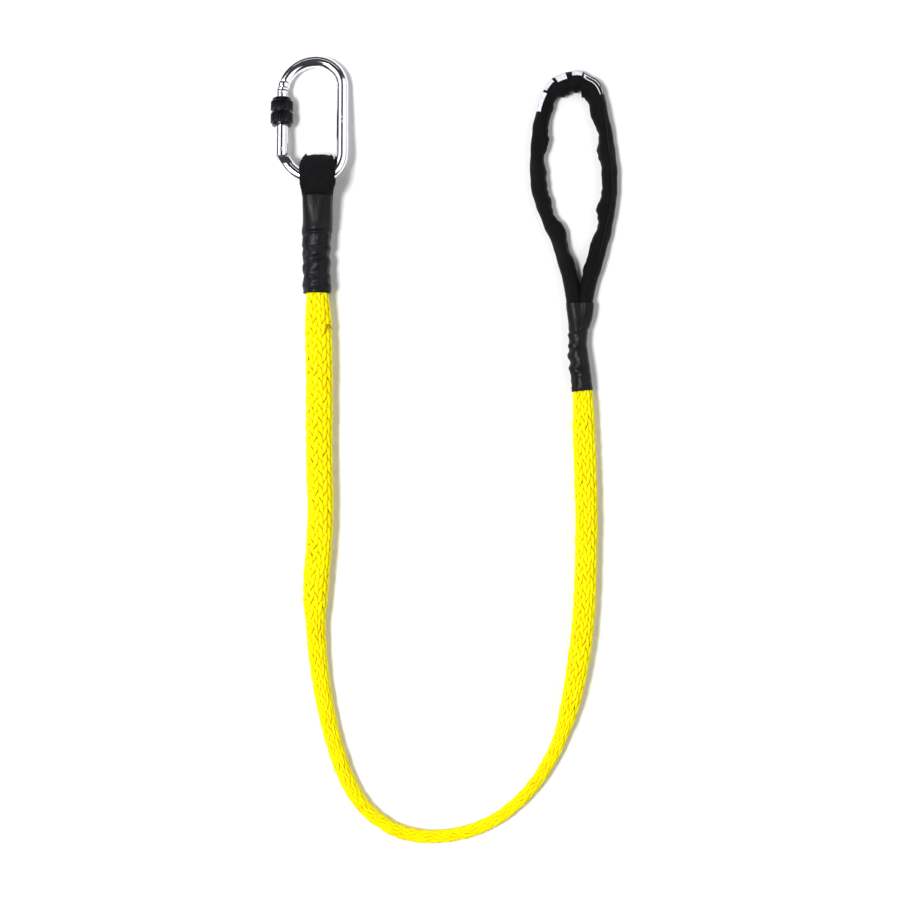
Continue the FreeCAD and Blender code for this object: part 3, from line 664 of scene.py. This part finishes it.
def make_clip_shrink(material):
    """The shrunk tube below the carabiner's eye."""
    stations = [
        (21.4, -103.4, 12.6, 12.5, 12.4),
        (12.0, -103.5, 12.6, 12.1, 12.4),
        (-1.0, -103.5, 12.6, 12.4, 12.4),
        (-8.0, -103.9, 12.4, 12.2, 12.2),
        (-20.0, -104.7, 12.0, 11.6, 11.7),
        (-31.0, -104.8, 11.9, 10.9, 11.4),
        (-42.0, -104.2, 11.9, 11.5, 11.6),
        (-52.0, -104.1, 12.1, 11.5, 11.7),
        (-58.9, -104.1, 12.2, 10.9, 11.3),
    ]
    grid = shrink_grid(stations, clip_relief, (0.5, 30.0))
    piece = skin("clip_shrink", grid, material, caps=False)
    hand_over(piece, "line", "clip_heat_shrink")


def handle_relief(depth, turn):
    """Heights on the loop's shrink: a groove between the loop's arms, a step, then folds."""
    upper = 1 - fade(depth, 17.0, 25.0)
    groove = -1.7 * upper * hump(np.sin(turn), 0.0, 0.16) * fade(np.abs(np.cos(turn)), 0.3, 0.8)
    lower = fade(depth, 22.0, 30.0) * (0.58 - 0.42 * np.sin(turn))
    folds = 0.85 * ripple(depth + 5 * np.sin(turn - 0.4), (15.0, 10.0), 13) * np.cos(turn + 1.3)
    rumple = 0.4 * ripple(depth, (7.0, 11.0), 18) * np.sin(2 * turn + 0.2 * depth)
    step = -0.7 * hump(depth + 0.8 * np.sin(turn), 23.5, 1.2)
    return groove + lower * (braid_relief(depth, turn, 21.0, 0.28) + folds + rumple) + step


def make_handle_shrink(material):
    """The shrunk tube where the hand loop's two arms meet the rope."""
    stations = [
        (-66.4, 112.5, 8.4, 11.8, 7.4),
        (-76.0, 112.9, 8.4, 10.9, 7.4),
        (-83.0, 112.6, 8.8, 9.6, 7.8),
        (-88.0, 111.4, 9.0, 7.9, 8.2),
        (-97.0, 110.3, 8.9, 7.9, 8.1),
        (-103.0, 110.6, 9.0, 7.6, 8.2),
        (-110.0, 111.4, 9.3, 8.2, 8.6),
        (-118.0, 112.0, 9.4, 8.7, 8.9),
        (-128.0, 113.4, 9.4, 8.6, 8.9),
        (-135.0, 114.3, 9.4, 8.6, 8.8),
        (-139.2, 114.5, 9.4, 8.5, 8.6),
    ]
    grid = shrink_grid(stations, handle_relief, (0.75, 20.0))
    rim, rim_middle, slant = grid[-3:], 0.1145, 0.10
    rim[..., 1] += (rim[..., 0] - rim_middle) * slant
    piece = skin("handle_shrink", grid, material, caps=False)
    hand_over(piece, "line", "handle_heat_shrink")


# ---------------------------------------------------------------- webbing eye

EYE_ROUTE = [
    (-103.3, 10.0, 10.6),
    (-103.3, 18.0, 7.6),
    (-103.2, 26.0, 5.2),
    (-102.8, 34.0, 4.6),
    (-102.6, 42.0, 4.8),
    (-102.5, 49.2, 6.6),
    (-102.5, 50.8, 17.0),
    (-102.5, 49.2, 27.4),
    (-102.6, 42.0, 29.4),
    (-102.8, 35.0, 29.0),
    (-103.2, 28.0, 25.8),
    (-103.3, 23.0, 19.5),
    (-103.3, 18.5, 15.6),
    (-103.3, 11.0, 13.8),
]
EYE_HALF_WIDTH = [
    (0.000, 11.2),
    (0.012, 11.4),
    (0.020, 12.8),
    (0.030, 13.8),
    (0.038, 11.8),
    (0.044, 10.6),
    (0.053, 10.6),
    (0.059, 13.8),
    (0.065, 15.2),
    (0.074, 14.7),
    (0.086, 12.9),
    (0.094, 11.6),
    (0.120, 11.2),
]
CORNER_POWER = 0.8


def strap_rings(line, count, columns):
    """Frames of a flat bar of webbing in the YZ plane, and its section with rounded corners."""
    along = np.linspace(0.0, line.length, count)
    centre = line.middle(along)
    ahead = np.gradient(centre, axis=0)
    ahead /= np.linalg.norm(ahead, axis=1, keepdims=True)
    out = np.cross(ahead, (1.0, 0.0, 0.0))
    turn = round_turn(columns)
    wide = corner_power(np.cos(turn), CORNER_POWER)
    thick = corner_power(np.sin(turn), CORNER_POWER)
    return along, centre, out, wide, thick


def make_clip_eye(webbing, yellow):
    """The eye that the carabiner hangs in: a strap of webbing with the rope's strand inside."""
    line = Line(read_spline("eye_route", EYE_ROUTE, 4))
    count, columns, apex_at = 220, 96, 0.465
    along, centre, out, wide, thick = strap_rings(line, count, columns)
    share = along / line.length
    half = glide(along, EYE_HALF_WIDTH)
    half = half + 0.30 * ripple(along, (0.021, 0.013), 21)
    half = half + 0.16 * ripple(along, (0.0021, 0.0034), 22)
    tall = 4.2 - 0.4 * fade(np.abs(share - 0.5), 0.40, 0.5)
    apex = hump(share, apex_at, 0.055)
    ears = 3.0 * apex[:, None] * hump(np.abs(wide), 0.92, 0.05)
    dish = 2.4 * (1 - apex) * (1 - fade(np.abs(share - apex_at), 0.30, 0.42))
    lift = tall[:, None] * thick - ears - dish[:, None] * np.abs(wide) ** 4
    x = half[:, None] * wide
    sway = 0.25 * ripple(x * MM + along[:, None] * 0.7, (0.017, 0.009), 4)
    points = centre[:, None, :] + out[:, None, :] * ((-lift + sway) * MM)[..., None]
    points[..., 0] += x * MM
    points[..., 2] = np.maximum(points[..., 2], FLOOR_GAP)
    run = np.repeat(along[:, None] / MM, columns, axis=1)
    eye = skin("clip_webbing", points, webbing, np.stack([run, x + 0 * run], axis=-1))
    hand_over(eye, "line", "clip_eye_webbing")

    inner_x, inner_lift = 8.5 * wide, 2.6 * thick
    inside = centre[:, None, :] - out[:, None, :] * (inner_lift * MM)[None, :, None]
    inside[..., 0] += inner_x * MM
    lay = np.stack([run, inner_x + 0 * run], axis=-1)
    strand = skin("clip_eye_rope", inside[8:-8], yellow, lay[8:-8])
    hand_over(strand, "line", "clip_eye_strand")


# ---------------------------------------------------------------- hand loop

LOOP_HEIGHT = 7.0
LOOP = [
    (109.6, -92.0),
    (108.4, -80.0),
    (107.6, -64.6),
    (105.0, -46.0),
    (97.3, -18.0),
    (87.4, 2.5),
    (79.6, 23.0),
    (77.6, 44.0),
    (78.9, 66.0),
    (80.9, 84.0),
    (85.0, 100.0),
    (92.5, 112.0),
    (107.5, 117.2),
    (121.2, 112.0),
    (127.2, 101.0),
    (131.0, 84.0),
    (134.6, 60.0),
    (137.4, 40.0),
    (136.0, 16.0),
    (131.4, -8.0),
    (126.6, -27.0),
    (120.0, -48.0),
    (117.0, -64.6),
    (115.6, -80.0),
    (113.6, -92.0),
]
LOOP_HALF_WIDTH = [
    (0.000, 4.6),
    (0.020, 5.6),
    (0.030, 6.3),
    (0.046, 6.7),
    (0.075, 6.5),
    (0.150, 6.5),
    (0.190, 6.3),
    (0.208, 7.4),
    (0.225, 9.3),
    (0.240, 8.8),
    (0.254, 7.4),
    (0.266, 6.5),
    (0.350, 6.8),
    (0.380, 6.8),
    (0.406, 6.7),
    (0.422, 6.3),
    (0.432, 5.6),
    (0.452, 4.6),
]


def sleeve_surface(line, place, angle, lift=0.0):
    """Points on the hand loop's sleeve. Angle 0 is the top and a quarter turn its inner side."""
    centre, _, side, up = line.at(place)
    half = glide(place, LOOP_HALF_WIDTH)
    inner = np.maximum(np.sin(angle), 0.0)
    loose = fade(place, 0.04, 0.07) * (1 - fade(place, 0.385, 0.41))
    bunch = hump(place, 0.226, 0.016)
    scallop = 1.3 * ripple(place, (0.043, 0.026), 31) * inner**1.5
    crimp = 0.38 * ripple(place, (0.0075, 0.0058, 0.0105), 33) * inner**2
    crimp = crimp * (0.55 + 0.45 * ripple(place, (0.06,), 35)) * (1 - 0.8 * bunch)
    gathers = -1.5 * bunch * ripple(place + 0.0016 * np.sin(2 * angle), (0.0142, 0.0104), 36)
    gathers = gathers * (0.35 + 0.65 * inner)
    ridge = 0.55 * np.cos(3 * angle + 40 * place) * ripple(place, (0.09, 0.05), 37)
    puff = 0.25 * ripple(place, (0.031, 0.017), 38)
    pulls = 0.30 * ripple(place + 0.0045 * np.sin(angle), (0.0135, 0.0092), 39)
    pulls = pulls * (0.35 + 0.65 * inner) * (0.6 + 0.4 * ripple(place, (0.07,), 40))
    pulls = pulls * (1 - 0.7 * bunch)
    radius = half + loose * (scallop + crimp + ridge + puff + pulls) + gathers + lift
    tall = np.minimum(half, 6.9) / half
    out_side = side * (radius * np.sin(angle) * MM)[..., None]
    out_up = up * (radius * np.cos(angle) * tall * MM)[..., None]
    points = centre + out_side + out_up
    points[..., 2] = np.maximum(points[..., 2], FLOOR_GAP)
    return points


# Printed areas of the sleeve: first and last place along it, lowest and highest angle in degrees.
BLOCKS = [
    (0.1870, 0.2020, -82, -22),
    (0.2040, 0.2118, -88, -34),
    (0.2138, 0.2212, -86, -16),
    (0.2252, 0.2315, -84, -30),
]
LINES = [
    (0.2325, 0.2450, -52, -45),
    (0.2345, 0.2500, -30, -24),
    (0.2330, 0.2345, -52, -26),
    (0.2455, 0.2505, -58, -50),
]


def make_marks(line, material):
    """Plain light blocks and thin lines printed on the loop's outer side."""
    rows, columns, print_lift = 40, 14, 0.24
    vertices, faces, lays = [], [], []
    for number, (first, last, low, high) in enumerate(BLOCKS + LINES):
        places = np.linspace(first, last, rows)
        angles = np.radians(np.linspace(low, high, columns))
        place, angle = np.meshgrid(places, angles, indexing="ij")
        vertices.append(sleeve_surface(line, place, angle, print_lift).reshape(-1, 3))
        faces.extend(sheet_faces(rows, columns, False, number * rows * columns).tolist())
        lays.append(np.stack([place / MM, angle * 8.0], axis=-1).reshape(-1, 2))
    lay = np.concatenate(lays)
    piece = new_piece("loop_print", np.concatenate(vertices), faces, material, lay)
    hand_over(piece, "line", "handle_marks")


def make_seam(line, material):
    """The sleeve's long seam, as a thin round welt lying on it."""
    start, end, count = 0.262, 0.385, 320
    columns, radius = 10, 0.45 * MM
    turn = round_turn(columns)
    rings = []
    for place in np.linspace(start, end, count):
        angle = -0.35 + 0.10 * math.sin(place * 90)
        spot = np.array([place])
        centre = sleeve_surface(line, spot, np.array([angle]), 0.05)[0]
        _, _, side, up = (part[0] for part in line.at(spot))
        rings.append(centre + radius * (np.cos(turn)[:, None] * side + np.sin(turn)[:, None] * up))
    run = np.repeat(np.arange(count)[:, None] * 0.4, columns, axis=1)
    around = np.repeat(np.arange(columns)[None, :] * 0.3, count, axis=0)
    piece = skin("loop_seam", np.array(rings), material, np.stack([run, around], axis=-1))
    hand_over(piece, "line", "hand_loop_seam")


def make_hand_loop(tube, yellow, white, thread):
    """The hand loop: a rope strand in a loose cloth sleeve with its prints and its seam."""
    line = Line(read_spline("loop_route", [(x, y, LOOP_HEIGHT) for x, y in LOOP]))
    rows, columns, end_gap = 760, 96, 0.016
    places = np.linspace(end_gap, line.length - end_gap, rows)
    place, angle = np.meshgrid(places, round_turn(columns), indexing="ij")
    lay = np.stack([place / MM, angle * 7.0], axis=-1)
    sleeve = skin("loop_sleeve", sleeve_surface(line, place, angle), tube, lay)
    hand_over(sleeve, "line", "hand_loop_sleeve")
    strand = round_bar("loop_rope", line, 3.9, (0.002, line.length - 0.002), yellow)
    hand_over(strand, "line", "hand_loop_strand")
    make_marks(line, white)
    make_seam(line, thread)


# ---------------------------------------------------------------- carabiner

ROD = 5.1
GATE_BOW, SPINE_BOW = 28.2, 21.4
BOW_DISTANCE = 98.8
HEEL, NOSE = 18.0, 74.0
PIVOT_HEIGHT, LATCH_HEIGHT = 23.5, 71.2
GATE_RADIUS = 5.2
TILT = math.radians(6.9)
ALONG = np.array([0.0, math.cos(TILT), -math.sin(TILT)])
NORMAL = np.array([0.0, math.sin(TILT), math.cos(TILT)])
CARABINER_AT = np.array([-104.9, 35.0, 17.0])


def to_row(points):
    """Carabiner millimetres (across, along, out of its plane) to row metres."""
    points = np.asarray(points, dtype=float)
    place = CARABINER_AT + points[..., 1:2] * ALONG + points[..., 2:3] * NORMAL
    place[..., 0] = place[..., 0] + points[..., 0]
    return place * MM


def rod_line():
    """The rod's centre line from its nose round the spine to its heel, with its directions."""
    line, ways = [], []

    def arc(middle, radius, start, end, step=2.0):
        """Adds points round an arc, between two angles in degrees."""
        turns = np.radians(np.linspace(start, end, max(2, int(abs(end - start) / step))))
        for turn in turns:
            line.append((radius * math.cos(turn), middle + radius * math.sin(turn)))
            ways.append((math.sin(turn), -math.cos(turn)))

    arc(BOW_DISTANCE - GATE_BOW, GATE_BOW, 177, 152, 0.45)
    arc(BOW_DISTANCE - GATE_BOW, GATE_BOW, 150, 90)
    arc(BOW_DISTANCE - SPINE_BOW, SPINE_BOW, 88, 0)
    for height in np.linspace(BOW_DISTANCE - SPINE_BOW - 4, SPINE_BOW + 4, 16):
        line.append((SPINE_BOW, height))
        ways.append((0.0, -1.0))
    arc(SPINE_BOW, SPINE_BOW, 0, -90)
    arc(GATE_BOW, GATE_BOW, -92, -168)
    return np.array(line), np.array(ways)


def nose_collar(line):
    """The rod's radius: two fine grooves and a low swelling above the nose on the gate's side."""
    height = np.where(line[:, 0] < -15, line[:, 1], 0.0)
    groove = 0.40 * hump(height, 81.0, 0.45) + 0.34 * hump(height, 76.4, 0.4)
    return ROD - groove + 0.25 * hump(height, 78.6, 2.0)


def frame_rings():
    """The rod as rings, cut level at its nose and heel, with a small round on both ends."""
    line, ways = rod_line()
    turn = round_turn(64)
    side = np.stack([-ways[:, 1], ways[:, 0]], axis=-1)
    rod = nose_collar(line)[:, None]
    flat = line[:, None, :] + (rod * np.cos(turn))[..., None] * side[:, None, :]
    out = rod * np.sin(turn)
    rings = np.concatenate([flat, out[..., None]], axis=-1)
    rings = trim_end(rings, NOSE, ways, 1.0)
    return trim_end(rings[::-1], HEEL, ways[::-1], -1.0)[::-1]


def trim_end(rings, level, ways, sign):
    """Drops the rings past the level and ends the rod square on it, with a rounded edge."""
    least_gap = 0.9
    clear = (sign * (rings[..., 1] - level)).min(axis=1) > least_gap
    first_kept = int(np.argmax(clear))
    rings = rings[first_kept:]
    first = rings[0]
    end = first.copy()
    lead = ways[first_kept]
    share = (level - first[:, 1]) / lead[1]
    end[:, 0] = first[:, 0] + lead[0] * share
    end[:, 1] = level
    middle = end.mean(axis=0)
    extra = []
    for inset, rise in ((0.55, 0.0), (0.30, 0.06), (0.12, 0.2), (0.0, 0.5)):
        ring = middle + (end - middle) * (1 - inset / ROD)
        ring[:, 1] = level + sign * rise
        extra.append(ring)
    return np.concatenate([np.array(extra), rings])


def turned(name, profile, material, columns=96, ribs=0, rib_depth=0.0):
    """A turned piece on the gate line. profile is (height, radius, ribbed share) from below."""
    profile = np.array(profile)
    turn = round_turn(columns)
    wave = 0.5 - 0.5 * np.cos(ribs * turn)
    radius = profile[:, 1:2] - rib_depth * profile[:, 2:3] * wave[None, :] ** 1.5
    across = -GATE_BOW + radius * np.cos(turn)
    out = radius * np.sin(turn)
    height = np.repeat(profile[:, 0:1], columns, axis=1)
    rings = to_row(np.stack([across, height, out], axis=-1))
    return skin(name, rings, material)


def plain_solid(name, points, faces):
    """A solid from points in carabiner millimetres, as a cutter or a lug."""
    mesh = bpy.data.meshes.new(name)
    mesh.from_pydata(to_row(points).tolist(), [], faces)
    return new_object(name, mesh)


def box_piece(name, low, high):
    """A box between its lowest and highest corners, in carabiner millimetres."""
    (left, near, under), (right, far, over) = low, high
    corners = [(x, y, z) for x in (left, right) for y in (near, far) for z in (under, over)]
    faces = [(0, 1, 3, 2), (4, 6, 7, 5), (0, 4, 5, 1), (2, 3, 7, 6), (0, 2, 6, 4), (1, 5, 7, 3)]
    return plain_solid(name, corners, faces)


def cylinder_piece(name, start, end, radius):
    """A cylinder between two points in carabiner millimetres."""
    columns = 48
    start, end = np.array(start, dtype=float), np.array(end, dtype=float)
    ahead = (end - start) / np.linalg.norm(end - start)
    side = np.cross(ahead, (0.3, 0.2, 0.9))
    side /= np.linalg.norm(side)
    other = np.cross(ahead, side)
    turn = round_turn(columns)
    ring = radius * (np.cos(turn)[:, None] * side + np.sin(turn)[:, None] * other)
    points = np.concatenate([start + ring, end + ring])
    return plain_solid(name, points, tube_faces(2, columns))


def cross_bore(name, height, radius):
    """A round cutter through the gate line at this height, out of the carabiner's plane."""
    reach = 9.0
    low, high = (-GATE_BOW, height, -reach), (-GATE_BOW, height, reach)
    return cylinder_piece(name, low, high, radius)


def ball_piece(name, centre, radius):
    """A ball about a point in carabiner millimetres."""
    shape = bmesh.new()
    bmesh.ops.create_uvsphere(shape, u_segments=32, v_segments=20, radius=radius * MM)
    bmesh.ops.translate(shape, verts=shape.verts, vec=to_row(centre))
    mesh = bpy.data.meshes.new(name)
    shape.to_mesh(mesh)
    shape.free()
    return new_object(name, mesh)


def round_corner_cutter(radius):
    """A square block with the round of the barrel's inner lower corner taken out of it."""
    left, right = -GATE_BOW, -GATE_BOW + radius + 1
    below, reach = 17.0, 8.0
    turns = np.radians(np.linspace(-90, 0, 13))
    round_side = np.stack([left + radius * np.cos(turns), PIVOT_HEIGHT + radius * np.sin(turns)], 1)
    outline = [*round_side.tolist(), (right, PIVOT_HEIGHT), (right, below), (left, below)]
    points = [(x, y, depth) for depth in (-reach, reach) for x, y in outline]
    piece = plain_solid("round_corner", points, tube_faces(2, len(outline)))
    shape = bmesh.new()
    shape.from_mesh(piece.data)
    bmesh.ops.recalc_face_normals(shape, faces=shape.faces)
    shape.to_mesh(piece.data)
    shape.free()
    return piece


def carve(piece, cutters, operation="DIFFERENCE"):
    """Applies booleans to the piece and drops the cutters."""
    for cutter in cutters:
        step = piece.modifiers.new("carve", "BOOLEAN")
        step.operation = operation
        step.solver = "EXACT"
        step.object = cutter
        graph = bpy.context.evaluated_depsgraph_get()
        worked = bpy.data.meshes.new_from_object(piece.evaluated_get(graph))
        piece.modifiers.clear()
        old = piece.data
        worked.name = piece.name
        piece.data = worked
        bpy.data.meshes.remove(old)
        bpy.data.objects.remove(cutter)
    sharpen(piece)


def sharpen(piece):
    """Marks the edges that turn by more than 32 degrees as sharp, and shades the rest smooth."""
    mesh = piece.data
    normals = np.array([face.normal[:] for face in mesh.polygons])
    owners = {}
    for face in mesh.polygons:
        for key in face.edge_keys:
            owners.setdefault(key, []).append(face.index)
    limit = math.cos(math.radians(32.0))
    for edge in mesh.edges:
        pair = owners.get(tuple(sorted(edge.vertices)), [])
        edge.use_edge_sharp = len(pair) != 2 or float(normals[pair[0]] @ normals[pair[1]]) < limit
    mesh.polygons.foreach_set("use_smooth", [True] * len(mesh.polygons))


def make_frame(material):
    """The rod with its hinge lug, latch hook, rivet bore, two dimples and a flat on the heel."""
    piece = skin("carabiner_rod", to_row(frame_rings()), material)
    left, right, half = -GATE_BOW - 3.2, -GATE_BOW + 3.2, 2.0
    throat, lip_end = -GATE_BOW - 1.55, -GATE_BOW - 0.2
    lug_top, nose_low = 27.5, 72.75
    hook_low, hook_top = 68.45, NOSE + 3
    lugs = [
        box_piece("hinge_lug", (left, HEEL - 3, -half), (right, lug_top, half)),
        box_piece("nose_lug", (throat, nose_low, -half), (right, hook_top, half)),
        box_piece("nose_hook", (left, hook_low, -half), (throat, hook_top, half)),
        box_piece("nose_lip", (throat - 0.5, hook_low, -half), (lip_end, hook_low + 1.0, half)),
    ]
    carve(piece, lugs, "UNION")
    flat_low, flat_high = (-GATE_BOW - 9, HEEL - 6.2, 3.3), (-GATE_BOW + 9, HEEL - 0.5, 8)
    holes = [cross_bore("rivet_way", PIVOT_HEIGHT, 1.3)]
    for height in (47.0, 50.6):
        holes.append(ball_piece("dimple", (SPINE_BOW, height, ROD + 0.25), 0.95))
    holes.append(box_piece("heel_flat", flat_low, flat_high))
    carve(piece, holes)
    hand_over(piece, "carabiner", "carabiner_frame")


def softened(profile, size):
    """The same outline with each corner replaced by two points close to it."""
    profile = np.array(profile, dtype=float)
    points = [profile[0]]
    for before, corner, after in zip(profile, profile[1:], profile[2:]):
        for other in (before, after):
            gap = other - corner
            share = min(size / math.hypot(gap[0], gap[1]), 0.4)
            points.append(corner + gap * share)
    points.append(profile[-1])
    return points


def make_gate(material):
    """The gate's barrel: forked at its hinge, slotted at its tip, with a ring groove round it."""
    radius, groove = GATE_RADIUS, GATE_RADIUS - 0.5
    profile = [(18.3, 0.3, 0), (18.3, radius - 0.2, 0)]
    profile += [(height, radius, 0) for height in np.linspace(18.5, 35.0, 12)]
    profile += [(35.2, groove, 0), (35.6, groove, 0)]
    profile += [(height, radius, 0) for height in np.linspace(35.8, 73.0, 24)]
    profile += [(73.4, radius - 0.4, 0), (73.4, 0.3, 0)]
    piece = turned("gate_barrel", profile, material)
    left, right, half = -45, -15, 2.2
    cutters = [
        box_piece("hinge_way", (left, 17.0, -half), (right, 29.0, half)),
        box_piece("latch_way", (left, 66.8, -half), (right, 75.0, half)),
        cross_bore("rivet_bore", PIVOT_HEIGHT, 1.3),
        cross_bore("pin_bore", LATCH_HEIGHT, 1.2),
        cylinder_piece("spring_way", (-GATE_BOW, 28.0, 0), (-GATE_BOW, 52.1, 0), 1.75),
        round_corner_cutter(radius),
    ]
    carve(piece, cutters)
    hand_over(piece, "gate", "gate_arm")


def make_sleeve(material):
    """The screw sleeve: two ribbed bands, a waist between them and a rim at each end."""
    low, top = 44.2, 67.6
    middle = (low + top) / 2
    bore, end, band, waist = 5.5, 7.9, 9.2, 8.1
    outline = [
        (low, bore, 0),
        (low, end, 0),
        (low + 1.9, end, 0),
        (low + 2.6, band, 1),
        (middle - 1.6, band, 1),
        (middle - 0.9, waist, 0),
        (middle + 0.9, waist, 0),
        (middle + 1.6, band, 1),
        (top - 3.3, band, 1),
        (top - 2.6, end, 0),
        (top - 0.7, end, 0),
        (top, end - 0.7, 0),
        (top, 6.3, 0),
        (top - 4.2, 6.3, 0),
        (top - 4.2, bore, 0),
        (low, bore, 0),
    ]
    ribs, rib_depth = 26, 0.9
    piece = turned("screw_sleeve", softened(outline, 0.18), material, 12 * ribs, ribs, rib_depth)
    hand_over(piece, "lock_sleeve", "lock_sleeve")


def make_carabiner():
    """The carabiner's rod, gate and sleeve, and the metal of its small CAD parts."""
    chrome = metal("polished_metal", (0.81, 0.82, 0.85), 0.09, (0.3, 1.0, 1.0), 0.000004)
    anodised = metal("black_anodised", (0.021, 0.021, 0.024), 0.22, (1.0, 0.3, 1.0), 0.00001)
    steel = metal("plain_steel", (0.55, 0.56, 0.58), 0.3, (1.0, 1.0, 0.3), 0.00001)
    make_frame(chrome)
    make_gate(chrome)
    make_sleeve(anodised)
    for name in ("hinge_rivet", "latch_pin", "spring_plunger", "gate_spring", "sleeve_stop_ring"):
        dress(name, steel)


def dress(name, material):
    """Gives a CAD node that stays visible its material."""
    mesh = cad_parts[name].data
    mesh.materials.clear()
    mesh.materials.append(material)


make_camera()
make_studio()
make_floor()
yellow = yellow_braid()
make_rope(yellow)
shrink = heat_shrink()
make_clip_shrink(shrink)
make_handle_shrink(shrink)
webbing = cloth("black_webbing", (0.0055, 0.0055, 0.0064), (1.5, 1.1), 0.0008, 0.10, 0.7)
tube_cloth = cloth("black_tube", (0.0035, 0.0035, 0.0042), (0.7, 0.6), 0.00016, 0.07, 0.45)
thread = cloth("black_thread", (0.012, 0.012, 0.014), (0.8, 0.8), 0.0002, 0.1, 0.7)
make_clip_eye(webbing, yellow)
make_hand_loop(tube_cloth, yellow, light_print(), thread)
dress("clip_lock_stitching", thread)
dress("handle_lock_stitching", thread)
make_carabiner()
